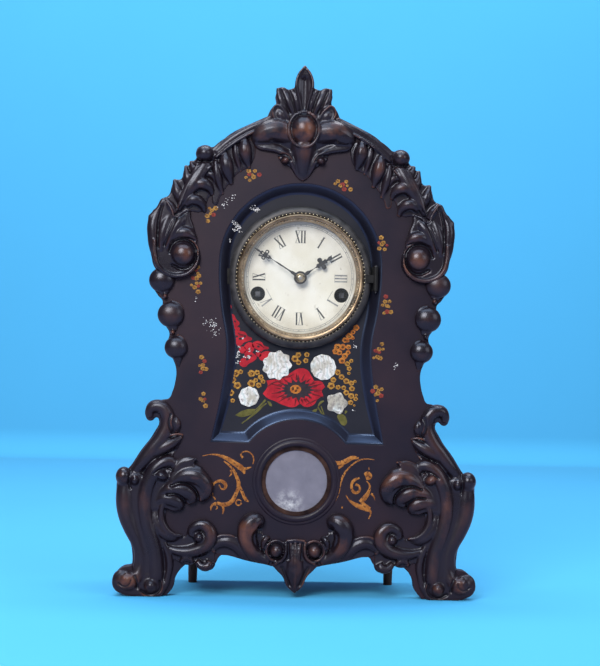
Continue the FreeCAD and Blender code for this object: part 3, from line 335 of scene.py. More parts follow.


# A mottled finish between two colours; most of the clock's finishes are this.
# A rub is (start, end, cloud scale, edge colour, colour of the painted shade in hollows), and a flake is
# (scale, share, colour).
def mottledFinish(name, first, second, slow, fine, rough, bump, shine=0.5, metal=0.0, tint=(1, 1, 1),
                  rub=None, flake=None):
    tree = newMaterial(name, {"Metallic": metal, "IOR": glassBend, "Specular IOR Level": shine,
                              "Specular Tint": tint})
    cloud = placeMottle(tree, slow, fine, *rough)
    colour = mixColour(tree, cloud["Cloud"], first, second)
    if rub:
        start, end, scale, edge, hollowShade = rub
        worn = addNode(tree, "Group", {"Start": start, "End": end, "Cloud Scale": scale}, node_tree=edgeRubAndShade)
        colour = mixColour(tree, worn.outputs["Mask"], colour, edge)
        # painted shade: concave hollows take the darker hollow colour
        colour = mixColour(tree, worn.outputs["Hollow Shade"], colour, hollowShade)
    if flake:
        scale, share, under = flake
        gone = addRamp(tree, addNoise(tree, scale, 4.0, 0.65), [(share, 0), (share + 0.05, 1)])
        colour = mixColour(tree, gone, colour, under)
    dress(tree, colour, cloud["Spread"], (cloud["Fine"], bump, 0.0003))


# Each finish: two colours, slow and fine scale, roughness, bump, then what differs from plain.
finishes = {
    # japannedIron's faint blue specular tint paints a blue reflection into its highlights.
    # japannedIron's rub also darkens its hollows with a near-black colour, as painted shade.
    "japannedIron": ((0.0075, 0.0052, 0.009), (0.0135, 0.0078, 0.0115), 16, 520, (0.23, 0.36), 0.16, {
        "tint": (0.8, 0.84, 1), "rub": (0.512, 0.585, 27, (0.205, 0.074, 0.035), (0.0045, 0.0032, 0.005))}),
    "fieldIron": ((0.011, 0.0092, 0.0185), (0.0235, 0.012, 0.02), 12, 640, (0.34, 0.48), 0.16, {
        "shine": 0.24, "flake": (820, 0.68, (0.05, 0.038, 0.046))}),
    "panelBlack": ((0.009, 0.0105, 0.0175), (0.015, 0.015, 0.024), 14, 700, (0.36, 0.5), 0.12, {
        "shine": 0.24}),
    # wallBlack's strong blue specular tint and high shine paint a blue sheen of reflected light onto the
    # recess wall.
    "wallBlack": ((0.007, 0.007, 0.012), (0.012, 0.011, 0.018), 14, 700, (0.26, 0.36), 0.1, {
        "shine": 0.75, "tint": (0.4, 0.58, 1)}),
    "goldenBrass": ((0.19, 0.132, 0.088), (0.5, 0.375, 0.25), 75, 1100, (0.28, 0.46), 0.2, {"metal": 1}),
    # The movement's front plate brass is near black: painted shade for the dark inside of the case seen
    # through the winding holes.
    "shadeDarkBrass": ((0.01, 0.009, 0.008), (0.022, 0.018, 0.013), 60, 1400, (0.5, 0.65), 0.08, {}),
    "agedBrass": ((0.34, 0.21, 0.085), (0.5, 0.34, 0.15), 70, 1400, (0.26, 0.42), 0.08, {"metal": 1}),
    "dullBrass": ((0.026, 0.025, 0.028), (0.074, 0.068, 0.068), 90, 1100, (0.4, 0.58), 0.25, {"metal": 0.6}),
    "paleBrass": ((0.28, 0.23, 0.155), (0.66, 0.57, 0.42), 150, 1100, (0.2, 0.36), 0.06, {"metal": 1}),
    "hingeBlack": ((0.006, 0.006, 0.007), (0.014, 0.013, 0.013), 90, 1100, (0.34, 0.46), 0.2, {"shine": 0.2}),
    "copperRing": ((0.036, 0.022, 0.02), (0.115, 0.062, 0.046), 80, 1500, (0.28, 0.42), 0.08, {"metal": 1}),
    "plainSteel": ((0.3, 0.3, 0.31), (0.42, 0.42, 0.43), 90, 1600, (0.28, 0.42), 0.06, {"metal": 1}),
    "darkSteel": ((0.055, 0.056, 0.062), (0.11, 0.11, 0.12), 120, 1600, (0.3, 0.45), 0.06, {"metal": 1}),
    "blackIron": ((0.018, 0.017, 0.017), (0.03, 0.028, 0.027), 50, 800, (0.4, 0.55), 0.15, {}),
    "handBlack": ((0.01, 0.01, 0.012), (0.02, 0.019, 0.021), 200, 1800, (0.35, 0.5), 0.05, {}),
    "numeralInk": ((0.02, 0.02, 0.022), (0.1, 0.098, 0.095), 260, 900, (0.5, 0.65), 0.05, {}),
    "trackInk": ((0.13, 0.135, 0.14), (0.32, 0.32, 0.3), 160, 900, (0.5, 0.65), 0.05, {}),
    "chipWhite": ((0.52, 0.5, 0.5), (0.78, 0.77, 0.76), 500, 900, (0.5, 0.7), 0.2, {"shine": 0.2})}
# Each paint: two colours, slow scale, roughness, and a flake if it has one.
satin, chalky = (0.4, 0.55), (0.45, 0.6)
paints = {
    "redPaint": ((0.27, 0.008, 0.018), (0.5, 0.016, 0.028), 150, satin, (420, 0.63, (0.1, 0.012, 0.018))),
    "yellowPaint": ((0.24, 0.1, 0.016), (0.5, 0.265, 0.048), 420, satin, (700, 0.6, (0.08, 0.04, 0.016))),
    "sprayGold": ((0.15, 0.062, 0.014), (0.42, 0.22, 0.046), 420, satin, (520, 0.58, (0.06, 0.03, 0.014))),
    "orangePaint": ((0.34, 0.08, 0.012), (0.52, 0.2, 0.035), 320, satin, (700, 0.6, (0.1, 0.03, 0.012))),
    "goldPaint": ((0.19, 0.06, 0.015), (0.44, 0.175, 0.036), 300, (0.38, 0.55),
                  (420, 0.56, (0.045, 0.018, 0.014))),
    "deepRed": ((0.085, 0.005, 0.01), (0.17, 0.01, 0.016), 200, satin, None),
    "dullRed": ((0.13, 0.016, 0.014), (0.28, 0.04, 0.03), 400, satin, None),
    "umberPaint": ((0.055, 0.02, 0.008), (0.125, 0.046, 0.014), 400, chalky, None),
    "olivePaint": ((0.075, 0.07, 0.016), (0.135, 0.12, 0.03), 240, chalky, None),
    "darkPaint": ((0.02, 0.016, 0.022), (0.034, 0.024, 0.03), 300, satin, None)}
for name, (*look, more) in finishes.items():
    mottledFinish(name, *look, **more)
for name, (first, second, slow, rough, flake) in paints.items():
    mottledFinish(name, first, second, slow, 900, rough, 0.12, shine=0.2, flake=flake)


# Ivory dial paint: a pale ground, brown clouds towards the rim and fine worn specks.
def makeDialIvory():
    tree = newMaterial("dialIvory", {"Specular IOR Level": 0.35})
    cloud = placeMottle(tree, 42.0, 700.0, 0.38, 0.6)
    rim = addRange(tree, distanceFrom(tree, (0.0, -0.0327, 0.283)), 0.030, 0.056)
    ground = mixColour(tree, cloud["Cloud"], (0.77, 0.745, 0.655), (0.68, 0.64, 0.52))
    aged = mixColour(tree, addMaths(tree, "MULTIPLY", rim, cloud["Cloud"]), ground, (0.45, 0.41, 0.34))
    specks = addRamp(tree, addNoise(tree, 260.0, 2.0), [(0.70, 0), (0.76, 0.55)])
    worn = mixColour(tree, specks, aged, (0.30, 0.24, 0.17))
    dress(tree, worn, cloud["Spread"], (cloud["Fine"], 0.05, 0.0002))


# Pearl: growth lines and soft pink, green and grey bands over white, with more or less soil.
def makePearl(name, soil):
    tree = newMaterial(name, {"Coat Weight": 0.6, "Coat Roughness": 0.08, "Specular IOR Level": 0.6})
    bands = addNode(tree, "TexWave", {"Vector": objectSpot(tree), "Scale": 42.0, "Distortion": 9.0,
                                      "Detail": 3.0, "Detail Scale": 1.6}).outputs["Fac"]
    tint = addRamp(tree, bands, [(0.0, (0.54, 0.52, 0.47)), (0.3, (0.78, 0.77, 0.73)),
                                 (0.55, (0.74, 0.68, 0.68)), (0.75, (0.82, 0.82, 0.77)),
                                 (1.0, (0.56, 0.61, 0.60))])
    cloud = placeMottle(tree, 95.0, 600.0, 0.18, 0.36)
    dirt = addRamp(tree, cloud["Cloud"], [(0.50 - 0.4 * soil, 0), (0.92 - 0.3 * soil, 0.85)])
    flecks = addNoise(tree, 330.0, 4.0, 0.7)
    marks = addRamp(tree, flecks, [(0.55 - 0.1 * soil, 0), (0.64 - 0.06 * soil, 0.8)])
    soiled = mixColour(tree, marks, mixColour(tree, dirt, tint, (0.40, 0.36, 0.28)), (0.20, 0.18, 0.17))
    dress(tree, soiled, cloud["Spread"], (bands, 0.15, 0.0004))


# Dark stained wood with long grain along one axis.
def makeWood(name, stretch):
    tree = newMaterial(name, {"Coat Weight": 0.12, "Coat Roughness": 0.35})
    along = addNode(tree, "Mapping", {"Vector": objectSpot(tree), "Scale": stretch}).outputs[0]
    grain = addNode(tree, "TexNoise", {"Vector": along, "Scale": 26.0, "Detail": 7.0, "Roughness": 0.62,
                                       "Distortion": 0.5}).outputs["Fac"]
    tone = addRamp(tree, grain, [(0.30, (0.014, 0.007, 0.005)), (0.52, (0.036, 0.017, 0.010)),
                                 (0.72, (0.070, 0.034, 0.018))])
    dress(tree, tone, addRange(tree, grain, 0.0, 1.0, 0.6, 0.42), (grain, 0.25, 0.0004))


# Bezel glass: old clear glass, drawn thin so that the dial under it keeps its light.
def makeClearGlass():
    tree = newMaterial("clearGlass", {"IOR": glassBend, "Specular IOR Level": 0.5})
    cloud = placeMottle(tree, 24.0, 160.0, 0.02, 0.07)
    dress(tree, (0.86, 0.90, 0.92), cloud["Spread"])
    haze = addRange(tree, cloud["Cloud"], 0.0, 1.0, 0.008, 0.025)
    feed(tree, tree.nodes["Principled BSDF"], {"Alpha": haze})


# Window glass: hazy grey, with a paler patch low on the left.
def makeHazyGlass():
    tree = newMaterial("hazyGlass", {"Coat Weight": 0.35, "Coat Roughness": 0.12, "Alpha": 0.94})
    cloud = placeMottle(tree, 46.0, 420.0, 0.24, 0.42)
    near = addRange(tree, distanceFrom(tree, (-0.006, -0.0424, 0.083)), 0.015, 0.002)
    patchGrain = addRamp(tree, addNoise(tree, 190.0, 6.0, 0.7), [(0.42, 0), (0.66, 1)])
    ground = mixColour(tree, cloud["Cloud"], (0.150, 0.145, 0.185), (0.215, 0.205, 0.255))
    palePatch = addMaths(tree, "MULTIPLY", near, patchGrain)
    dress(tree, mixColour(tree, palePatch, ground, (0.62, 0.62, 0.64)), cloud["Spread"])


makeDialIvory()
makePearl("pearlShell", 0.0)
makePearl("pearlStained", 1.0)
makeWood("caseWood", (6.0, 6.0, 0.6))
makeWood("crossWood", (0.6, 6.0, 6.0))
makeClearGlass()
makeHazyGlass()
print("finishes made:", len(made))

# The CAD nodes that stay in sight take their finish by slot.
slotFinish = {"japanned_iron": "japannedIron", "dark_wood": "caseWood", "brass": "agedBrass",
              "copper_ring": "copperRing", "glass": "clearGlass", "dial_enamel": "dialIvory",
              "pearl": "pearlShell", "black_hands": "handBlack", "base_iron": "blackIron",
              "steel": "plainSteel"}
# The front plate takes the near-black brass as painted shade, so the winding holes show dark.
nodeFinish = {"case_top": "crossWood", "case_bottom": "crossWood", "movement_rails": "crossWood",
              "window_glass": "hazyGlass", "hinge_leaf_fixed": "hingeBlack",
              "hinge_leaf_moving": "hingeBlack", "hinge_pin": "darkSteel", "door_catch": "hingeBlack",
              "time_winding_arbor": "darkSteel", "strike_winding_arbor": "darkSteel",
              "front_plate": "shadeDarkBrass"}
for entry in frame["record"]["subparts"]:
    finish = made[nodeFinish.get(entry["node"], slotFinish[entry["material_slot"]])]
    for place in frame["nodes"][entry["node"]].material_slots:
        place.material = finish
print("node finishes set:", len(frame["nodes"]))

# The flat field of the casting: its outline from the crest down the right side, then mirrored.
plateHalf = [(0, 466, 1), (4.5, 458), (8.5, 449), (10, 448, 1), (22, 449.5, 1), (25, 444), (24.5, 436),
    (29, 431), (32, 424.5, 1), (48, 417), (64, 408.5), (79, 396.5), (84, 396), (90, 391), (97.5, 379.5),
    (105.5, 366.5), (115.5, 352), (125, 342.5), (132.5, 332.5), (133.5, 325), (133, 315), (131.5, 298),
    (126.5, 289), (131.5, 278), (125.5, 265), (121, 259.5), (123.8, 248.5), (118, 238), (114.5, 231.5),
    (117, 220), (111.5, 210), (108, 200), (108.6, 189), (111, 180), (114, 174), (120, 172.4), (127.5, 170),
    (132, 163), (129, 158.5), (122.5, 156), (126.5, 143.5), (138.5, 126.5), (146, 114.5), (154.5, 104),
    (156, 95.5), (153.5, 78), (151, 64), (144.5, 50.5), (140.5, 36), (143, 27.5), (152, 24.5), (157.5, 17.5),
    (153, 8), (147, 2.5), (140, 0.5, 1), (113, 0.5, 1), (107, 8), (104.5, 18), (97, 27.5), (88, 33), (82, 28),
    (76, 25), (70.5, 29), (66, 36), (58, 38.5), (42, 32), (21, 29.5), (11, 19.5), (6, 10), (0, 5.5, 1)]
recess = {"arch": 69.5, "archMid": 294.0, "sill": 139.0, "bow": 57.0, "grow": 2.6, "wall": 1.6,
    "steps": [(0.0, 0.0), (0.6, 0.06), (1.2, 0.26), (1.7, 0.58), (2.2, 1.0), (4.4, 3.2), (6.6, 5.4),
        (7.3, 6.1), (8.0, 6.6), (8.8, 6.9), (9.6, 7.0)]}
field = {"window": 33.0, "round": 0.4, "rim": 4.6, "rimThick": 10.0, "rimLevel": -41.2}
panel = {"shrink": -3.0, "dial": 52.9, "round": 0.5}


# The recessed panel's outline, grown outwards by some mm.
def panelLoop(grow):
    wide, mid, low = recess["arch"] + grow, recess["archMid"], recess["sill"] - grow
    half = [(wide * sin(radians(a)), mid + wide * cos(radians(a))) for a in range(0, 91, 15)]
    half += [(67.3 + grow, 258), (61.5 + grow, 221), (64.9 + grow, 183), (74 + grow, low, 1)]
    bow, base = recess["bow"] - grow, spots["window"][1]
    start = acos((low - base) / bow)
    half.append((bow * sin(start), low, 1))
    turns = [start * share for share in (0.75, 0.5, 0.25, 0.0)]
    half += [(bow * sin(turn), base + bow * cos(turn)) for turn in turns]
    return bothSides(half)


fieldShape = bmesh.new()
fieldLoops = [bothSides(plateHalf), panelLoop(recess["grow"]), circleLoop(spots["window"], field["window"])]
addSlab(fieldShape, fieldLoops, levels["field"], levels["fieldBack"], field["round"])
# A thicker rim behind the outline: the face is inset, its middle taken out and the rest thickened.
rimPart = settled(outlineCurve([bothSides(plateHalf)]))
bmesh.ops.remove_doubles(rimPart, verts=rimPart.verts, dist=weld["slab"])
middle = bmesh.ops.edgeloop_fill(rimPart, edges=rimPart.edges)["faces"]
if middle[0].normal.z < 0:
    bmesh.ops.reverse_faces(rimPart, faces=middle)
bmesh.ops.inset_region(rimPart, faces=middle, thickness=field["rim"], use_even_offset=True, use_boundary=True)
bmesh.ops.delete(rimPart, geom=middle, context="FACES")
bmesh.ops.solidify(rimPart, geom=rimPart.faces[:], thickness=field["rimThick"])
bmesh.ops.recalc_face_normals(rimPart, faces=rimPart.faces)
joinShapes(fieldShape, rimPart, standUp(field["rimLevel"]))
finishPiece("castingField", fieldShape, "fieldIron", sharp=sharps["field"], replaces=("front_casting",))
# The sloping wall of the recess: panel outlines at each step in and down, bridged and then thickened.
wallPart = bmesh.new()
rows = []
for inwards, down in recess["steps"]:
    known = set(wallPart.edges)
    joinShapes(wallPart, settled(outlineCurve([panelLoop(recess["grow"] - inwards)])), lifted(-down))
    rows.append([edge for edge in wallPart.edges if edge not in known])
for first, second in zip(rows, rows[1:]):
    bmesh.ops.bridge_loops(wallPart, edges=first + second)
bmesh.ops.recalc_face_normals(wallPart, faces=wallPart.faces)
if sum(face.normal.z for face in wallPart.faces) < 0:
    bmesh.ops.reverse_faces(wallPart, faces=wallPart.faces)
bmesh.ops.solidify(wallPart, geom=wallPart.faces[:], thickness=recess["wall"])
bmesh.ops.recalc_face_normals(wallPart, faces=wallPart.faces)
bmesh.ops.transform(wallPart, matrix=standUp(levels["field"]), verts=wallPart.verts)
finishPiece("castingRecess", wallPart, "wallBlack", sharp=sharps["field"])
panelShape = bmesh.new()
addSlab(panelShape, [panelLoop(panel["shrink"]), circleLoop(spots["dial"], panel["dial"], 24)],
        levels["panel"], levels["panelBack"], panel["round"])
finishPiece("castingPanel", panelShape, "panelBlack", sharp=sharps["field"])
print("field and panel made")

# Ornament and paint are sketched on square grids: left, top, across and down in mm per unit, and lean.
sketches = {"crest": (0.0, 476.9, 0.148, 0.148, 0.0), "shoulder": (50.4, 414.7, 0.1269, 0.1269, 0.02),
    "leg": (48.1, 179.4, 0.148, 0.148, 0.002), "apron": (0.0, 86.1, 0.1776, 0.1776, 0.0),
    "beads": (142.6, 299.3, -0.111, 0.111, 0.0313), "arch": (0.0, 0.0, 1.0, -1.0, 0.0),
    "flowers": (-77.1, 263.7, 0.0963, 0.0963, 0.02), "scrolls": (-93.2, 179.4, 0.1104, 0.1104, 0.02),
    "rim": (-70.0, 352.5, 0.0906, 0.0906, 0.02), "field": (0.0, 0.0, 1.0, -1.0, 0.0)}


def spotOn(sketch, u, v, *corner):
    left, top, across, down, lean = sketches[sketch]
    return (left + across * (u + lean * v), top - down * v) + corner


def unitOn(sketch):
    return abs(sketches[sketch][3])


# Cast relief, drawn for the right side in grid units, with tops, lifts and depths in mm.
# Pads are (outline, top, rounding); broad and fine strokes are (u, v, radius, lift);
# lobes are (u, v, half width, half height, rise, turn); rings are (u, v, half width, half height,
# radius in mm, lift); grooves are (line, radius, depth).
plainRelief = {"pads": [], "fine": [], "lobes": [], "lobeLift": 0.0, "rings": [], "grooves": [],
               "floor": None, "back": -3.6, "padBack": -3.8}
crest = {"sketch": "crest", "voxel": 0.7, "squash": 0.85, "sink": 1.2,
    "pads": [(bothSides([(0, 46, 1), (22, 72), (42, 110), (57, 165), (50, 215), (36, 262), (24, 310),
        (20, 350)]), 5.0, 2.2), ([(18, 350), (40, 262), (62, 182, 1), (95, 192), (122, 180), (167, 186, 1),
        (162, 235), (152, 284), (176, 330), (150, 380), (90, 400), (40, 390)], 3.2, 1.5), ([(78, 404),
        (95, 360), (120, 315), (155, 285), (186, 298), (194, 335), (188, 376), (160, 400), (120, 414)],
        5.0, 2.0), ([(0, 404), (70, 394), (140, 374), (212, 366), (266, 394), (302, 446), (306, 500),
        (286, 536), (240, 550), (172, 560), (112, 580), (60, 600), (0, 606)], 3.8, 2.4), (bothSides([(0, 540),
        (90, 556), (140, 566), (150, 590), (126, 630), (94, 646), (70, 664), (50, 694), (24, 724),
        (0, 737, 1)]), 2.4, 1.4)],
    "broad": [[(28, 336, 14, 3.4), (48, 256, 22, 3.8), (70, 196, 12, 2.8)], [(52, 345, 14, 3.6),
        (92, 266, 25, 4.0), (124, 200, 14, 2.8)], [(98, 340, 14, 3.4), (138, 258, 23, 3.8),
        (160, 198, 11, 2.6)], [(100, 396, 12, 3.8), (136, 350, 32, 4.4), (164, 312, 18, 3.8)],
        [(20, 472, 60, 1.4), (96, 450, 67, 2.4), (166, 440, 74, 3.4), (228, 456, 68, 3.0),
        (270, 488, 50, 2.2), (284, 518, 26, 1.2)], [(0, 520, 84, 1.0), (0, 580, 66, 2.0), (0, 640, 48, 2.4),
        (0, 690, 30, 2.0), (0, 726, 10, 0.8)], [(296, 506, 10, 3.0), (268, 536, 14, 3.6), (214, 546, 16, 4.0),
        (156, 556, 16, 4.4), (106, 580, 18, 4.8), (70, 618, 18, 4.6), (50, 664, 14, 3.6), (22, 712, 8, 2)]],
    "fine": [[(10, 345, 6, 4.4), (28, 270, 8, 5.0), (44, 205, 9, 5.6), (49, 160, 9, 5.6), (36, 105, 8, 5.2),
        (0, 54, 6, 4.4)], [(84, 398, 6, 5), (98, 352, 7, 5.6), (130, 308, 8, 5.8), (162, 290, 7, 5.6),
        (184, 312, 7, 5.4), (178, 362, 7, 5.2), (130, 402, 6, 5)]],
    "lobes": [(0, 432, 84, 96, 12.0, 0), (104, 616, 30, 22, 7.2, -24)], "lobeLift": 2.5,
    "rings": [(0, 434, 90, 104, 1.5, 9.4)],
    "grooves": [([(0, 300), (0, 240), (0, 180), (0, 136)], 32, 1.8), ([(46, 334), (72, 252), (96, 190)],
        9, 1.6), ([(86, 334), (116, 262), (142, 196)], 9, 1.6), ([(24, 336), (30, 290), (46, 220), (58, 186)],
        8, 1.2), ([(150, 590), (126, 584), (96, 590), (76, 616)], 10, 2.2), ([(190, 500), (140, 520),
        (84, 548)], 22, 1.4)]}
arch = {"sketch": "arch", "voxel": 0.7, "squash": 0.8, "sink": 0.0,
    "pads": [([(28, 424), (36, 421.8), (48, 416.2), (63, 408), (78, 397), (82, 391), (78, 386), (64, 397.5),
        (52, 405.5), (40, 411.5), (30, 415)], 3.0, 1.4), ([(44, 402), (53, 404.5), (66, 396), (77, 386.5),
        (84, 373), (80, 356), (76.5, 345), (72, 353), (65, 364), (56, 374.5), (47, 380), (42, 391)],
        1.2, 1.0)],
    "broad": [[(30, 420, 2.6, 1.6), (41, 415.8, 3.6, 1.8), (51, 411, 3.8, 1.8), (60, 405.4, 3.8, 1.8),
        (68.5, 398.8, 3.8, 1.8), (76.5, 391.5, 3.4, 1.6)]],
    "fine": [[(36, 413.6, 0.9, 3.2), (46, 409, 1.2, 4.2), (56, 403.2, 1.3, 4.6), (66, 396.2, 1.3, 4.6),
        (77, 386.6, 1.1, 4)], [(51.4, 404, 2.4, 2), (51.6, 397, 5.6, 2.8), (50.4, 389, 5.4, 2.4),
        (47.2, 378.6, 1.6, 0.6)], [(60, 399.0, 1.6, 1.8), (59.4, 392.6, 2.6, 2.2), (57.4, 384, 2.4, 1.6),
        (54.4, 375, 1.0, 0.4)], [(68.6, 391.4, 2.4, 2.2), (68.0, 384, 5.6, 3.2), (65.8, 374.6, 5.2, 2.8),
        (62.4, 363.6, 1.6, 0.6)], [(77, 384, 1.8, 2.0), (75.8, 375, 3.6, 2.4), (73.4, 365, 3.2, 1.8),
        (70, 354.6, 1.2, 0.4)]]}
shoulder = {"sketch": "shoulder", "voxel": 0.75, "squash": 0.95, "sink": 2.0,
    "pads": [([(215, 200), (260, 150), (330, 150), (344, 236), (384, 244, 1), (386, 275), (415, 274, 1),
        (426, 330), (438, 372), (490, 372, 1), (502, 430), (522, 490), (549, 502, 1), (500, 590), (466, 642),
        (420, 616), (368, 596), (300, 600), (262, 560), (236, 490), (206, 470), (210, 400), (196, 330),
        (200, 260)], 1.4, 1.0), ([(372, 592), (420, 612), (466, 642), (492, 592), (550, 506), (602, 575),
        (654, 632, 1), (657, 710), (644, 810), (624, 900), (600, 985), (540, 1042), (440, 1064), (345, 1032),
        (288, 960), (286, 880), (312, 810), (322, 750), (340, 690), (360, 640)], 4.4, 2.4)],
    "broad": [[(588, 596, 34, 2), (616, 680, 42, 3), (612, 770, 44, 3.2), (600, 860, 38, 3.2),
        (576, 940, 28, 3)], [(506, 616, 24, 3.4), (536, 700, 34, 4.4), (556, 790, 34, 4.6),
        (560, 870, 26, 4.0)], [(384, 612, 18, 3), (432, 664, 40, 4.4), (480, 736, 42, 5), (514, 816, 32, 4.8),
        (526, 866, 18, 4)], [(318, 352, 18, 3.6), (352, 302, 26, 4.0), (380, 250, 8, 3)], [(366, 440, 24, 4),
        (394, 362, 30, 4.6), (412, 282, 9, 3.2)], [(424, 540, 26, 4.2), (460, 458, 32, 5),
        (488, 380, 9, 3.4)], [(470, 612, 20, 5), (504, 562, 26, 5.4), (544, 508, 8, 4)], [(262, 250, 34, 4),
        (318, 350, 46, 5.2), (384, 462, 40, 5.6), (448, 590, 14, 5.4)], [(262, 340, 18, 3.0),
        (232, 336, 24, 3.6), (206, 366, 20, 3), (200, 410, 10, 1.2)], [(476, 800, 18, 5.0),
        (446, 758, 34, 5.8), (394, 744, 42, 6.0), (346, 772, 34, 5.2), (326, 812, 20, 4.4)],
        [(356, 446, 24, 5), (302, 404, 40, 6.6), (246, 424, 34, 5.4), (214, 480, 14, 2.4)],
        [(400, 550, 24, 5.2), (348, 516, 38, 7.0), (294, 538, 32, 5.4), (264, 596, 14, 2.4)]],
    "fine": [[(231, 279, 9, 5.0), (324, 384, 11, 6.6), (417, 524, 8, 7.0)], [(289, 262, 9, 5.4),
        (371, 384, 11, 7.0), (440, 560, 8, 7.4)], [(326, 272, 8, 5.0), (412, 440, 9, 6.4),
        (452, 582, 7, 7.2)], [(368, 590, 7, 6), (420, 610, 8, 8.4), (466, 642, 8, 9.2), (492, 592, 8, 9),
        (546, 508, 7, 6)], [(604, 800, 13, 6), (598, 900, 15, 6.4), (568, 985, 16, 6.4), (500, 1036, 16, 6),
        (420, 1044, 15, 5.8), (345, 1010, 14, 5.8), (304, 940, 12, 5.8), (306, 870, 7, 5.4)]],
    "lobes": [(281, 192, 64, 58, 9.0, -15), (404, 896, 84, 86, 8.2, 0)], "lobeLift": 2.0,
    "grooves": [([(500, 880), (470, 818), (404, 794), (338, 826), (312, 896), (338, 968), (404, 1000),
        (476, 972)], 15, 2.6), ([(462, 652), (500, 742), (534, 836)], 13, 2.0), ([(560, 560), (580, 660),
        (584, 760), (580, 850)], 13, 2.0), ([(215, 246), (262, 250), (332, 246)], 14, 2.4), ([(326, 800),
        (366, 786), (430, 790), (484, 812)], 10, 1.6)]}
beads = {"sketch": "beads", "voxel": 0.75, "squash": 0.7, "sink": 0.4,
    "broad": [[(182, 190, 86, 1), (194, 248, 66, 1), (206, 296, 36, 1)], [(248, 462, 86, 1),
        (258, 530, 62, 1), (266, 588, 32, 1)], [(284, 722, 80, 1), (294, 782, 54, 1), (302, 832, 28, 0.6),
        (304, 880, 8, 0.2)]],
    "fine": [[(196, 78, 6, 1.4), (245, 102, 8, 2.4), (270, 150, 8, 2.4), (274, 192, 6, 1.6)],
        [(250, 346, 6, 1.4), (302, 366, 8, 2.4), (336, 402, 8, 2.6), (348, 454, 7, 1.8)], [(290, 622, 6, 1.4),
        (336, 643, 8, 2.4), (358, 675, 8, 2.4), (368, 714, 6, 1.8)]],
    "lobes": [(180, 190, 104, 100, 7.2, 0), (248, 462, 108, 104, 7.2, 0), (286, 722, 94, 90, 7.0, 0),
        (204, 318, 22, 24, 5.4, 0), (260, 602, 20, 22, 5.4, 0)], "lobeLift": 1.0}
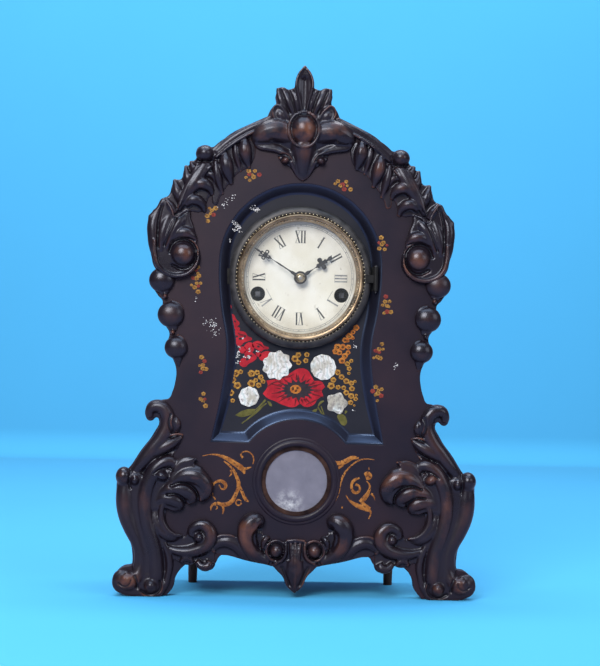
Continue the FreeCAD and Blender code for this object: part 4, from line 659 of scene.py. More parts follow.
leg = {"sketch": "leg", "voxel": 0.8, "squash": 0.95, "sink": 2.4, "floor": 0.2,
    "pads": [([(425, 100), (440, 70), (475, 50), (520, 44), (560, 60), (582, 100), (580, 145), (560, 170),
        (535, 166), (520, 150), (500, 158), (490, 180), (490, 212), (520, 252), (580, 322), (630, 400),
        (664, 456), (710, 465), (738, 510), (744, 580), (746, 650), (730, 740), (692, 825), (655, 895),
        (640, 980), (640, 1062), (600, 1150), (540, 1216), (480, 1216), (436, 1170), (410, 1100), (395, 1000),
        (430, 930), (480, 860), (505, 780), (510, 700), (495, 640), (440, 590), (400, 520), (388, 460),
        (384, 420), (410, 385), (385, 335), (362, 285), (352, 246, 1), (400, 246), (376, 232), (372, 182),
        (390, 148), (428, 146)], 1.4, 1.0), ([(262, 394, 1), (330, 384), (392, 402), (460, 470), (560, 600),
        (560, 690), (450, 690), (396, 706), (368, 690), (344, 652), (304, 666), (280, 640), (240, 640),
        (206, 620), (182, 546), (198, 492), (236, 440), (284, 408)], 5.4, 2.4), ([(262, 394, 1), (330, 384),
        (386, 404), (420, 466), (430, 530), (372, 528), (312, 548), (270, 590), (256, 644), (206, 620),
        (182, 546), (198, 492), (236, 440), (284, 408)], 7.4, 3.2), ([(510, 650), (520, 740), (490, 830),
        (440, 880), (376, 900), (340, 850, 1), (392, 830), (436, 780), (446, 720), (440, 690), (480, 650)],
        1.2, 0.9), ([(150, 870), (158, 805), (200, 762), (262, 756), (310, 790), (330, 850), (380, 890),
        (440, 900), (430, 960), (380, 1000), (330, 1024), (286, 1022), (260, 1012), (232, 1050), (180, 1056),
        (150, 1030), (150, 970)], 1.0, 0.8), ([(462, 1110), (448, 1160), (460, 1204), (480, 1218, 1),
        (640, 1218, 1), (700, 1200), (745, 1170), (756, 1110), (730, 1066), (680, 1058), (640, 1070),
        (560, 1060), (500, 1076)], 5.6, 2.8), ([(560, 520), (680, 476), (735, 556), (738, 660), (720, 745),
        (680, 825), (640, 900), (628, 990), (628, 1070), (500, 1090), (484, 1000), (506, 930), (545, 840),
        (565, 740), (570, 650)], 5.4, 2.6)],
    "broad": [[(556, 148, 20, 3), (548, 100, 32, 3.6), (505, 84, 38, 4), (460, 112, 42, 4),
        (450, 180, 44, 3.6), (478, 262, 48, 3.4), (542, 350, 48, 3.2), (604, 430, 40, 3),
        (650, 490, 26, 2.6)], [(392, 464, 16, 4.5), (402, 424, 28, 5.2), (446, 410, 38, 5.6),
        (500, 442, 44, 5.6), (540, 506, 47, 5.2), (566, 582, 48, 4.8), (574, 666, 48, 4.6),
        (562, 760, 48, 4.4), (536, 850, 48, 4.2), (510, 940, 46, 4), (500, 1030, 46, 4.0),
        (500, 1100, 44, 4.0), (512, 1160, 30, 3.4)], [(694, 530, 44, 2.6), (692, 620, 54, 2.6),
        (682, 715, 54, 2.6), (650, 805, 50, 2.6), (610, 890, 44, 2.6), (588, 970, 42, 2.8),
        (592, 1050, 42, 3.2), (622, 1106, 50, 4.2), (672, 1122, 60, 5.0), (712, 1116, 40, 4.4)],
        [(508, 770, 14, 3.2), (480, 850, 18, 3.4), (440, 930, 21, 3.4), (420, 1010, 21, 3.4),
        (428, 1090, 20, 3.4), (452, 1160, 19, 4.2), (500, 1200, 17, 5.4), (560, 1202, 12, 5.4)],
        [(480, 600, 24, 4.0), (390, 520, 42, 5.4), (305, 488, 54, 6.4), (236, 518, 52, 6.6),
        (208, 582, 40, 5.6), (234, 640, 22, 3.6)], [(498, 620, 26, 4.4), (424, 578, 48, 5.4),
        (352, 574, 56, 5.8), (304, 606, 46, 5.4), (292, 652, 28, 4.0)], [(506, 652, 26, 4.4),
        (456, 630, 42, 5.2), (408, 636, 46, 5.4), (372, 664, 38, 4.8), (374, 698, 22, 3.4)],
        [(414, 138, 12, 3.0), (392, 184, 24, 4.0), (398, 234, 12, 3.4)], [(362, 262, 12, 3.6),
        (412, 296, 30, 4.8), (482, 334, 36, 5.0), (556, 384, 24, 4)], [(506, 660, 18, 3.4),
        (508, 740, 30, 3.8), (476, 816, 38, 3.8), (412, 856, 32, 3.4), (350, 858, 10, 2.4)],
        [(452, 916, 16, 2.8), (372, 944, 26, 3.6), (278, 940, 36, 4.6), (206, 904, 42, 5.2),
        (178, 846, 43, 5.8), (198, 800, 40, 5.8), (240, 784, 36, 5.6), (282, 808, 30, 5.2),
        (292, 852, 20, 4.6)]],
    "fine": [[(354, 246, 6, 4.6), (400, 246, 7, 5.6), (442, 258, 6, 5.4)], [(264, 394, 6, 4.8),
        (328, 386, 8, 5.4), (384, 402, 7, 5)], [(346, 850, 8, 2.8), (404, 840, 17, 3.6), (454, 794, 20, 4.2),
        (474, 724, 18, 4.4), (468, 672, 16, 4.8), (448, 640, 12, 5.0)], [(258, 1000, 16, 2.8),
        (226, 1030, 24, 3.6), (190, 1026, 28, 4.0), (178, 1000, 20, 3.4)], [(352, 1010, 10, 2.2),
        (330, 984, 15, 2.8), (296, 990, 15, 2.8), (282, 1014, 10, 2.2)]],
    "lobes": [(700, 502, 50, 58, 8.6, 0), (634, 522, 28, 36, 8.8, 0), (476, 494, 46, 34, 10.4, 20),
        (528, 1146, 44, 44, 10.4, 0), (692, 1120, 60, 58, 7.2, 0), (682, 1104, 28, 28, 9.4, 0),
        (248, 858, 34, 34, 8.4, 0)], "lobeLift": 1.5,
    "grooves": [([(256, 650), (262, 600), (300, 556), (360, 536), (420, 552)], 13, 3.2), ([(330, 668),
        (344, 634), (386, 604), (440, 604)], 12, 2.8), ([(396, 342), (440, 362), (500, 392)], 12, 2.4),
        ([(412, 462), (430, 448), (470, 450), (520, 480)], 10, 2.0), ([(622, 1090), (610, 1120), (606, 1160)],
        13, 1.8), ([(474, 1120), (470, 1160), (492, 1188), (536, 1200), (584, 1176)], 12, 2.2), ([(644, 1112),
        (656, 1140), (688, 1150), (718, 1132)], 9, 1.6), ([(660, 470), (668, 520), (660, 570)], 10, 1.8),
        ([(420, 236), (440, 180), (430, 130)], 12, 1.6)]}
apron = {"sketch": "apron", "voxel": 0.75, "squash": 0.9, "sink": 1.6, "floor": 0.2,
    "pads": [([(-46, 196, 1), (46, 196, 1), (44, 235), (60, 290), (112, 316), (96, 342), (60, 380), (40, 425),
        (0, 462, 1), (-40, 425), (-60, 380), (-96, 342), (-112, 316), (-60, 290), (-44, 235)], 4.0, 1.6),
        ([(100, 324), (150, 320), (240, 304), (330, 280), (400, 268), (420, 230), (390, 186), (340, 176),
        (290, 196), (264, 240), (280, 170), (262, 110), (226, 72), (180, 78), (158, 110), (160, 170),
        (128, 180), (116, 260)], 1.0, 0.8)],
    "broad": [[(170, 126, 22, 3.2), (188, 106, 42, 4.6), (222, 118, 54, 5.4), (242, 168, 50, 5.0),
        (228, 228, 44, 4.2), (188, 276, 34, 3.2), (130, 306, 20, 2.4)], [(412, 240, 20, 2), (352, 208, 30, 3),
        (300, 224, 30, 3), (262, 264, 24, 2.6), (236, 294, 14, 2)], [(0, 300, 48, 2.4), (0, 360, 46, 3),
        (0, 420, 28, 2.4), (0, 456, 8, 1.2)]],
    "fine": [[(24, 204, 7, 4.6), (20, 250, 8, 5.8), (16, 306, 8, 6.8)], [(50, 204, 7, 4.4), (46, 240, 8, 5.2),
        (58, 286, 9, 5.4), (98, 314, 8, 4.2)], [(0, 205, 8, 4.8), (0, 260, 9, 6.6), (0, 340, 9, 8.0),
        (0, 420, 8, 6.4), (0, 456, 6, 3)], [(130, 182, 8, 3), (152, 198, 15, 4.4), (162, 240, 8, 3)],
        [(-46, 200, 7, 4.4), (0, 196, 8, 4.8), (46, 200, 7, 4.4)], [(400, 262, 8, 2.8), (420, 232, 9, 3.4),
        (392, 190, 9, 3.6), (346, 178, 9, 3.8), (296, 192, 8, 3.6), (262, 232, 7, 3)]],
    "lobes": [(94, 250, 36, 36, 8.4, 0)], "lobeLift": 1.5, "rings": [(94, 250, 50, 50, 1.2, 3.6)],
    "grooves": [([(166, 150), (196, 156), (206, 200), (180, 244)], 14, 2.0), ([(64, 332), (42, 380),
        (24, 420)], 11, 1.6)]}


# Sinks the skin along each groove, deepest on its line.
def carved(shape, grooves):
    skin, least = 0.4, 0.3  # only the front is carved, and not down to the field
    marks = []
    for line, radius, depth in grooves:
        part = bmesh.new()
        addStrokes(part, [[(x, y, 0.01, 0) for x, y in line]], sides=0, steps=16)
        marks += [(vert.co.x, vert.co.y, radius, depth) for vert in part.verts]
        part.free()
    tree = KDTree(len(marks))
    for index, mark in enumerate(marks):
        tree.insert((mark[0], mark[1], 0), index)
    tree.balance()
    for vert in shape.verts:
        if vert.co.z > skin:
            spot, index, gap = tree.find((vert.co.x, vert.co.y, 0))
            radius, depth = marks[index][2:]
            if gap < radius:
                vert.co.z = max(least, vert.co.z - depth * (1 - (gap / radius) ** 2) ** 2)


def reliefShape(group, sketch, unit):
    def strokes(key, sink):
        return [[spotOn(sketch, u, v) + (radius * unit, lift - sink) for u, v, radius, lift in line]
                for line in group[key]]

    shape, wide = bmesh.new(), bmesh.new()
    for loop, top, rounding in group["pads"]:
        back = min(group["padBack"], top - 2 * rounding - 1)
        part = slabPart([[spotOn(sketch, *point) for point in loop]], top - back, rounding, arcs=3)
        joinShapes(shape, part, lifted((top + back) / 2))
    addStrokes(shape, strokes("fine", 0.0))
    addStrokes(wide, strokes("broad", group["sink"]), sides=5)
    joinShapes(shape, wide, Matrix.Diagonal((1, 1, group["squash"], 1)))
    for u, v, across, high, rise, turn in group["lobes"]:
        place = Matrix.Translation((*spotOn(sketch, u, v), group["lobeLift"]))
        place = place @ Matrix.Rotation(radians(turn), 4, "Z")
        place = place @ Matrix.Diagonal((across * unit, high * unit, rise, 1))
        bmesh.ops.create_icosphere(shape, subdivisions=3, radius=1.0, matrix=place)
    for u, v, across, high, radius, lift in group["rings"]:
        knots = [onCircle(spotOn(sketch, u, v), across * unit, tau * i / 10, high * unit) + (radius, lift)
                 for i in range(10)]
        addStrokes(shape, [knots], closed=True)
    for vert in shape.verts:
        vert.co.z = max(vert.co.z, group["back"])
        if group["floor"] is not None:
            vert.co.y = max(vert.co.y, group["floor"])
    return shape


# Ornament on the middle line is mirrored into one piece, and the rest is made right and left.
def castRelief(name, sketched):
    group = {**plainRelief, **sketched}
    sketch = group["sketch"]
    unit = unitOn(sketch)
    shape = reliefShape(group, sketch, unit)
    grooves = [([spotOn(sketch, u, v) for u, v in line], radius * unit, depth)
               for line, radius, depth in group["grooves"]]
    onMiddle = sketches[sketch][0] == 0
    if onMiddle:
        joinShapes(shape, mirrored(shape))
        grooves += [([(-x, y) for x, y in line], radius, depth) for line, radius, depth in grooves]
    skin = melted(shape, group["voxel"])
    if grooves:
        carved(skin, grooves)
    bmesh.ops.smooth_vert(skin, verts=skin.verts, factor=0.5, use_axis_x=True, use_axis_y=True,
                          use_axis_z=True)
    parts = {name: skin} if onMiddle else {name + "Right": skin, name + "Left": mirrored(skin)}
    for label, part in parts.items():
        bmesh.ops.transform(part, matrix=standUp(levels["field"]), verts=part.verts)
        finishPiece(label, part, "japannedIron")


for name, sketched in {"crestRelief": crest, "archRelief": arch, "apronRelief": apron,
                       "shoulderRelief": shoulder, "beadRelief": beads, "legRelief": leg}.items():
    castRelief(name, sketched)
print("relief cast")


# Thin flat shapes of paint from closed outlines.
def paintFills(shape, sketch, loops, lift, thick=0.16):
    for loop in loops:
        outline = [spotOn(sketch, *point) for point in loop]
        joinShapes(shape, slabPart([outline], thick, 0.0, 4, gap=weld["paint"]), lifted(lift))


# Brush strokes: (u, v, half width), all in grid units, swelling and tapering.
def paintLines(shape, sketch, lines, lift):
    flat, under = 0.1, -0.04  # pressed thin, and no deeper than this below the surface
    unit = unitOn(sketch)
    part = bmesh.new()
    strokes = [[spotOn(sketch, u, v) + (half * unit, 0) for u, v, half in line] for line in lines]
    addStrokes(part, strokes, sides=2, steps=5)
    for vert in part.verts:
        vert.co.z = max(vert.co.z * flat, under) + lift
    joinShapes(shape, part)


# Dabs of a loaded brush: (u, v, half width, half height), each turned a little from the last.
def paintDabs(shape, sketch, dabs, lift, thick):
    unit, step, taper = unitOn(sketch), 0.9, 0.8
    for count, (u, v, wide, high) in enumerate(dabs):
        place = Matrix.Translation((*spotOn(sketch, u, v), lift + thick / 2))
        place = place @ Matrix.Rotation(count * step, 4, "Z")
        place = place @ Matrix.Diagonal((wide * unit, high * unit, thick, 1))
        bmesh.ops.create_cone(shape, cap_ends=True, segments=11, radius1=1.0, radius2=taper, depth=1.0,
                              matrix=place)


def scaled(shares, reach):
    return tuple(reach * share for share in shares)


# Five dabs round a spot make a small bloom.
def paintBloom(shape, sketch, spot, reach, start, look):
    for petal in range(5):
        place = onCircle(spot, reach * look["off"], tau * petal / 5 + start)
        dab = place + scaled(look["petal"], reach)
        paintDabs(shape, sketch, [dab], look["lift"] + 0.01 * petal, look["thick"])


def finishPaint(name, shape, colour, level):
    bmesh.ops.transform(shape, matrix=standUp(levels[level]), verts=shape.verts)
    bmesh.ops.recalc_face_normals(shape, faces=shape.faces)
    finishPiece(name, shape, colour, sharp=sharps["paint"])


# Fills and lines come with a lift, and dabs with a lift and a thickness.
def paintPiece(name, colour, sketch, level, fills=((), 0.0), lines=((), 0.0), dabs=((), 0.0, 0.0)):
    shape = bmesh.new()
    paintFills(shape, sketch, *fills)
    if lines[0]:
        paintLines(shape, sketch, *lines)
    paintDabs(shape, sketch, *dabs)
    finishPaint(name, shape, colour, level)


redFlower = {"petals": [[(460, 872, 1), (505, 800), (494, 752, 1), (560, 742), (640, 728), (730, 668),
    (800, 634), (870, 648), (906, 700), (934, 748, 1), (1000, 752), (1034, 802, 1), (1004, 838),
    (1018, 880, 1), (964, 918), (930, 966), (850, 988), (802, 958, 1), (750, 992), (650, 976), (566, 938),
    (500, 912)]],
    "cluster": [[(140, 66), (160, 60), (170, 96), (150, 104)], [(160, 152), (190, 150), (214, 190),
        (246, 236), (206, 262), (172, 266), (176, 220)], [(204, 296), (262, 302), (300, 314), (322, 346),
        (362, 372), (318, 396), (290, 404), (266, 430), (236, 446), (212, 410), (196, 384), (186, 340)],
        [(384, 396), (446, 398), (470, 430), (516, 456), (470, 468), (446, 486), (412, 470), (362, 434)],
        [(296, 486), (334, 484), (384, 512), (404, 540), (376, 576), (330, 602), (296, 632), (246, 604),
        (262, 560), (290, 540)], [(396, 500), (436, 496), (446, 522), (420, 536)], [(300, 424), (352, 404),
        (378, 446), (366, 490), (322, 474), (288, 452)], [(452, 498), (520, 484), (544, 514), (504, 556),
        (456, 572), (426, 548)], [(244, 458), (282, 444), (306, 474), (284, 506), (248, 492)], [(196, 268),
        (232, 262), (250, 286), (212, 292)]], "star": (778, 832, 180, 104, 17), "eye": (762, 828, 56)}


# A ragged star outline round a middle: long and short rays take turns.
def starLoop(u, v, wide, high, rays):
    reaches = [(1.0, 0.66, 0.86, 0.66)[i % 4] for i in range(rays * 2)]
    return [onCircle((u, v), wide * reach, tau * i / (rays * 2), high * reach) + (1,)
            for i, reach in enumerate(reaches)]


redFills = redFlower["petals"] + redFlower["cluster"]
paintPiece("redBlooms", "redPaint", "flowers", "panel", fills=(redFills, 0.06))
# Darker streaks run out from the star, and follow the edges of the petals.
streaks = []
u, v, wide, high = redFlower["star"][:4]
for k in range(26):
    turn = tau * k / 26 + 0.12 * sin(5 * k)
    near, far = 0.86, 1.30 + 0.22 * sin(3.7 * k)
    lean = turn + 0.03 * sin(k)
    streaks.append([(u + wide * share * cos(lean), v + high * share * sin(turn), size)
                    for share, size in ((near, 9), ((near + far) / 2, 6), (far, 2))])
streaks += [
    [(504, 806, 3), (560, 770, 7), (640, 752, 5)], [(966, 916, 3), (924, 936, 7), (860, 966, 4)],
    [(800, 958, 5), (786, 930, 6), (770, 906, 3)], [(934, 750, 5), (910, 776, 7), (880, 790, 3)],
    [(640, 730, 3), (700, 712, 7), (744, 690, 3)], [(230, 320, 4), (262, 336, 9), (300, 340, 4)],
    [(290, 560, 4), (326, 530, 9), (366, 530, 4)], [(400, 412, 3), (436, 424, 8), (470, 452, 3)]]
paintPiece("petalShading", "deepRed", "flowers", "panel", lines=(streaks, 0.14))
starLines = [[(784, 690, 3), (786, 720, 6), (782, 760, 6)], [(690, 760, 3), (716, 790, 7)],
             [(660, 900, 3), (700, 880, 7)], [(880, 770, 3), (850, 800, 7)]]
shadowDabs = [(256, 372, 20, 12), (296, 350, 14, 10), (222, 352, 12, 10), (420, 440, 16, 9),
              (318, 560, 16, 11), (350, 526, 12, 9), (204, 214, 12, 8)]
paintPiece("bloomShadows", "darkPaint", "flowers", "panel", fills=([starLoop(*redFlower["star"])], 0.12),
           lines=(starLines, 0.15), dabs=(shadowDabs, 0.13, 0.06))

# Small round blooms: (u, v, radius) rings of yellow or orange with a brown middle, half of them with a glint.
blooms = {"yellow": [(210, 692, 38), (256, 676, 24), (356, 690, 36), (408, 680, 26), (440, 722, 28),
    (180, 752, 36), (462, 762, 24), (356, 782, 38), (422, 796, 28), (226, 802, 36), (164, 870, 34),
    (182, 942, 22), (394, 750, 22), (756, 546, 34), (788, 510, 28), (790, 580, 26), (866, 506, 26),
    (856, 562, 26), (1150, 664, 30), (1186, 706, 28), (1110, 734, 28), (1230, 744, 30), (1276, 762, 26),
    (1090, 790, 36), (1154, 802, 24), (1206, 806, 24), (1282, 812, 28), (1230, 850, 28), (1276, 880, 30),
    (1316, 906, 22), (1270, 940, 26), (1310, 746, 16), (1322, 872, 14), (1304, 968, 12), (1256, 628, 24),
    (1254, 672, 16), (1240, 584, 26), (1276, 556, 20)],
    "orange": [(1322, 250, 30), (1292, 290, 24), (1258, 330, 34), (1218, 366, 28), (1150, 432, 36),
        (1196, 430, 32), (1130, 472, 30), (1166, 482, 28), (1250, 430, 26), (1246, 480, 24), (1216, 512, 30),
        (1190, 556, 32), (1240, 370, 20), (1290, 344, 18)]}
bloomLook = {"off": 0.44, "petal": (0.56, 0.5), "lift": 0.06, "thick": 0.16, "eyeOff": 2, "eye": (0.52, 0.46),
             "eyeLift": (0.16, 0.12), "glintOff": 0.1, "glint": (0.2, 0.16), "glintLift": (0.24, 0.08)}
bloomShapes = {tint: bmesh.new() for tint in ("yellow", "orange", "eye", "glint")}
for tint, places in blooms.items():
    for count, (u, v, reach) in enumerate(places):
        paintBloom(bloomShapes[tint], "flowers", (u, v), reach, count, bloomLook)
        eye = (u + bloomLook["eyeOff"], v + bloomLook["eyeOff"]) + scaled(bloomLook["eye"], reach)
        paintDabs(bloomShapes["eye"], "flowers", [eye], *bloomLook["eyeLift"])
        if count % 2 == 0:
            off = reach * bloomLook["glintOff"]
            glint = (u - off, v + off) + scaled(bloomLook["glint"], reach)
            paintDabs(bloomShapes["glint"], "flowers", [glint], *bloomLook["glintLift"])
u, v, reach = redFlower["eye"]
paintDabs(bloomShapes["orange"], "flowers", [(u, v, reach, reach * 0.8)], *bloomLook["eyeLift"])
paintDabs(bloomShapes["eye"], "flowers",
          [(u - 26, v - 6, 14, 18), (u + 4, v + 14, 16, 12), (u + 18, v - 12, 14, 12)], 0.24, 0.1)
for name, tint, colour in (("yellowBlooms", "yellow", "yellowPaint"),
                           ("orangeBlooms", "orange", "orangePaint"),
                           ("bloomEyes", "eye", "umberPaint"), ("bloomGlints", "glint", "yellowPaint")):
    finishPaint(name, bloomShapes[tint], colour, "panel")

leaves = {
    "fills": [
        [(206, 1076, 1), (260, 1040), (330, 1018), (398, 1016, 1), (372, 1056), (320, 1080), (262, 1092)],
        [(1150, 1056), (1196, 1050), (1232, 1092), (1228, 1146), (1196, 1152), (1164, 1112)],
        [(890, 1046, 1), (930, 1014), (966, 1000, 1), (950, 1034), (920, 1052)],
        [(500, 940, 1), (530, 950), (548, 990, 1), (524, 984)],
        [(1216, 1016, 1), (1240, 1020), (1216, 1050, 1)]],
    "lines": [
        [(494, 962, 6), (430, 1010, 8), (350, 1086, 7), (266, 1152, 4)],
        [(470, 980, 5), (400, 1050, 6), (300, 1126, 4)], [(966, 984, 6), (1006, 1050, 7), (1062, 1138, 4)],
        [(996, 978, 5), (1022, 1050, 5), (1042, 1112, 3)], [(396, 1020, 4), (440, 980, 7), (486, 930, 10)],
        [(970, 980, 5), (996, 944, 10), (1024, 930, 5)]]}
paintPiece("oliveLeaves", "olivePaint", "flowers", "panel", (leaves["fills"], 0.05), (leaves["lines"], 0.05))

# Gold scrolls either side of the window.
goldLines = [[(80, 502, 3), (160, 488, 5), (250, 508, 14), (340, 560, 20), (400, 604, 20), (416, 640, 6)],
    [(360, 600, 6), (420, 598, 10), (474, 584, 3)], [(250, 540, 5), (300, 580, 9), (318, 604, 5)],
    [(402, 512, 9), (386, 486, 6), (424, 460, 5), (466, 476, 5), (488, 516, 5), (482, 560, 4)],
    [(318, 596, 10), (346, 650, 13), (368, 730, 15), (346, 800, 14), (300, 872, 17), (240, 888, 16),
    (190, 876, 10), (150, 904, 8), (146, 936, 3)], [(304, 610, 8), (310, 640, 7), (292, 664, 3)],
    [(366, 720, 10), (396, 786, 12), (430, 850, 12), (448, 862, 4)], [(392, 872, 6), (368, 892, 6),
    (346, 870, 6), (364, 848, 6), (388, 858, 5)], [(184, 852, 5), (158, 800, 6), (162, 740, 7),
    (196, 704, 10), (246, 708, 14), (264, 748, 12), (236, 764, 6), (210, 730, 5)], [(240, 890, 9),
    (246, 930, 8), (240, 964, 3)], [(180, 890, 6), (196, 914, 6), (186, 928, 3)], [(1114, 484, 5),
    (1126, 520, 9), (1160, 546, 20), (1220, 528, 20), (1282, 496, 16), (1330, 500, 8)], [(1204, 556, 10),
    (1160, 590, 8), (1140, 640, 3)], [(1458, 510, 2), (1390, 504, 4), (1330, 518, 6), (1270, 560, 6),
    (1212, 630, 8), (1180, 710, 9), (1158, 790, 13), (1110, 866, 16), (1058, 914, 14)], [(1378, 636, 16),
    (1402, 624, 20), (1420, 648, 16), (1388, 662, 12)], [(1414, 590, 3), (1410, 570, 4)], [(1394, 680, 5),
    (1418, 716, 7), (1410, 764, 12), (1376, 818, 20), (1340, 850, 14)], [(1338, 656, 6), (1290, 680, 12),
    (1272, 724, 10), (1296, 774, 12), (1332, 764, 10), (1334, 724, 8), (1304, 710, 12)], [(1226, 796, 4),
    (1254, 836, 7), (1320, 880, 18), (1390, 906, 18), (1426, 930, 8), (1410, 984, 4)], [(1430, 780, 8),
    (1452, 806, 6), (1460, 832, 3)], [(1350, 850, 12), (1390, 882, 14), (1424, 900, 8)], [(1196, 890, 7),
    (1198, 904, 6)]]
paintPiece("goldScrolls", "goldPaint", "scrolls", "field", lines=(goldLines, 0.02))

# Small gold sprays on the field: (x, y, turn, count) in mm and degrees.
sprays = [(-44.4, 372.8, 20, 8), (35.6, 365.8, -25, 8), (-80.6, 337.6, 70, 7), (71.4, 314, -70, 7),
    (-91.4, 276, 100, 9), (-92.4, 288, 80, 4), (77, 259.6, -80, 9), (-84.6, 204.2, 95, 7),
    (-83.6, 172.8, 100, 5), (71, 218.4, 70, 8), (70.6, 182, -80, 8)]
sprayLook = {"off": 0.5, "petal": (0.62, 0.5), "lift": 0.0, "thick": 0.1, "eye": (0.32, 0.26),
             "eyeLift": (0.08, 0.08), "long": 3.1, "wide": 1.7, "least": 1.2, "more": 0.9}
sprayShapes = {tint: bmesh.new() for tint in ("ring", "eye", "red")}
for index, (x, y, turn, count) in enumerate(sprays):
    a = radians(turn)
    for k in range(count):
        step = 2.4 * k + 1.9 * index
        along, side = sprayLook["long"] * sqrt(k) * cos(step), sprayLook["wide"] * sqrt(k) * sin(step)
        u = x + along * cos(a) - side * sin(a)
        v = y + along * sin(a) + side * cos(a)
        reach = sprayLook["least"] + sprayLook["more"] * abs(sin(2.3 * k + 1.7 * index))
        tint = "red" if (k + index) % 4 == 1 else "ring"
        paintBloom(sprayShapes[tint], "field", (u, v), reach, k, sprayLook)
        eye = (u, v) + scaled(sprayLook["eye"], reach)
        paintDabs(sprayShapes["eye"], "field", [eye], *sprayLook["eyeLift"])
for name, tint, colour in (("goldSprays", "ring", "sprayGold"), ("sprayEyes", "eye", "umberPaint"),
                           ("sprayReds", "red", "dullRed")):
    finishPaint(name, sprayShapes[tint], colour, "field")

# Places where the paint has flaked to its white ground: (u, v, half width, half height, turn, flakes).
flakes = {"flowers": [(246, 450, 16, 8, 10, 7), (236, 510, 16, 52, 15, 22), (214, 594, 34, 12, -20, 16),
    (318, 534, 34, 16, 10, 16), (342, 474, 10, 26, 0, 8), (282, 372, 10, 8, 0, 4), (410, 484, 14, 6, 20, 5),
    (1306, 414, 12, 28, -20, 10), (1294, 1006, 16, 22, 0, 6)],
    "rim": [(140, 276, 22, 66, -38, 52), (120, 316, 26, 16, 0, 16), (316, 106, 60, 18, 16, 40),
        (68, 424, 10, 18, 0, 8)],
    "field": [(-77.5, 240, 6.0, 6.4, 0, 44), (-75, 232, 3.2, 3.4, 0, 8), (-68, 347, 3.4, 6, -35, 16),
        (85.4, 206.6, 2.0, 3.6, 0, 9), (-60, 352.6, 2.2, 3, -30, 7), (-92, 262, 1.4, 3, 0, 5)]}
chipLook = {"field": {"grain": 0.42, "lift": 0.0, "level": "field"},
            "flowers": {"grain": 4.6, "lift": 0.18, "level": "panel"},
            "rim": {"grain": 4.6, "level": "panel"}}
dice = random.Random(7)


# Height above the panel of the sloping wall at a point beside the arch.
def slopeLift(x, y):
    proud = 0.25
    inwards = recess["arch"] + recess["grow"] - hypot(x, y - recess["archMid"])
    for (near, high), (far, low) in zip(recess["steps"], recess["steps"][1:]):
        if near <= inwards < far:
            down = high + (low - high) * (inwards - near) / (far - near)
            return levels["panel"] - levels["field"] - down + proud
    return chipLook["flowers"]["lift"]


for sketch, patches in flakes.items():
    chipShape = bmesh.new()
    look = chipLook[sketch]
    for u, v, wide, high, turn, count in patches:
        c, s = cos(radians(turn)), sin(radians(turn))
        for k in range(count):
            a, b = dice.gauss(0, 0.5) * wide, dice.gauss(0, 0.5) * high
            size = look["grain"] * dice.uniform(0.45, 1.5)
            spot = (u + a * c - b * s, v + a * s + b * c)
            lift = look["lift"] if "lift" in look else slopeLift(*spotOn(sketch, *spot))
            paintDabs(chipShape, sketch, [spot + (size, size * dice.uniform(0.5, 1.0))], lift, 0.1)
    finishPaint(sketch + "Chips", chipShape, "chipWhite", look["level"])
print("paint laid")

# Pearl slices with softly rounded edges: (x, y, radius, scallops, scallop depth).
shells = [(-19, 205, 12.4, 9, 0.075), (22, 204, 11.3, 11, 0.02), (-43.4, 176.7, 8.8, 8, 0.03),
    (34.8, 172.3, 8.9, 5, 0.12)]
shellShapes = {"pearlShell": bmesh.new(), "pearlStained": bmesh.new()}
for x, y, reach, lobes, deep in shells:
    turns = [tau * i / (lobes * 4) for i in range(lobes * 4)]
    loop = [onCircle((x, y), reach * (1 + deep * cos(lobes * turn) + 0.02 * sin(2 * turn + x)), turn)
            for turn in turns]
    addSlab(shellShapes["pearlStained" if lobes == 5 else "pearlShell"], [loop], levels["panel"] - 0.7,
            levels["panel"] + 0.1, 0.3, 3)
for name, look, nodes in (("pearlSlices", "pearlShell", ("pearl_inlays",)),
                          ("pearlStained", "pearlStained", ())):
    finishPiece(name, shellShapes[look], look, sharp=sharps["pearl"], replaces=nodes)


def turnedPiece(name, profile, spot, look, body="case", replaces=(), steps=128):
    shape = bmesh.new()
    addTurned(shape, profile, spot, steps)
    finishPiece(name, shape, look, body, sharps["turned"], replaces)


# Iron moulding round the window.
moulding = [(30.9, -40.6), (30.9, -45.8), (31.8, -46.9), (33.6, -47.3), (35.4, -46.6), (36.4, -45.7),
    (37.6, -45.9), (38.6, -45.5), (39.2, -44.6), (39.2, -40.6)]
turnedPiece("windowMoulding", moulding, spots["window"], "fieldIron", steps=96)

# Bezel: a dark flange, a golden roll, and inside it a sight ring; each ring has a row of beads,
# as (count, radius, y, bead radius).
bezel = {"flange": [(56.2, -38.6), (60.2, -38.6), (61.4, -41.0), (62.7, -42.0), (63.0, -43.0), (62.3, -44.5),
    (60.4, -46.0), (58.2, -46.8), (57.0, -46.6), (56.2, -45.8)],
    "roll": [(52.6, -38.4), (56.1, -38.4), (56.1, -46.4), (55.9, -48.2), (55.4, -49.5), (54.7, -49.9),
        (54.1, -49.3), (53.8, -48.6), (52.8, -48.4), (52.6, -47.8)],
    "sight": [(54.9, -37.3), (54.9, -45.5), (53.4, -45.5), (52.9, -44.9), (52.6, -44.2), (52.0, -43.8),
        (51.4, -42.6), (50.6, -40.6), (50.2, -39.2), (49.7, -38.2), (49.7, -37.3)],
    "rows": {"roll": (104, 56.7, -46.9, 0.95), "sight": (104, 51.6, -43.2, 0.8)}}
for name, part, look, nodes in (("bezelFlange", "flange", "dullBrass", ("bezel_ring",)),
                                ("bezelRoll", "roll", "goldenBrass", ()),
                                ("sightRingTurned", "sight", "goldenBrass", ("sight_ring",))):
    turnedPiece(name, bezel[part], spots["dial"], look, "bezel_door", nodes)
# The beads take a paler brass than the rings they sit on, as painted glints.
beadShape = bmesh.new()
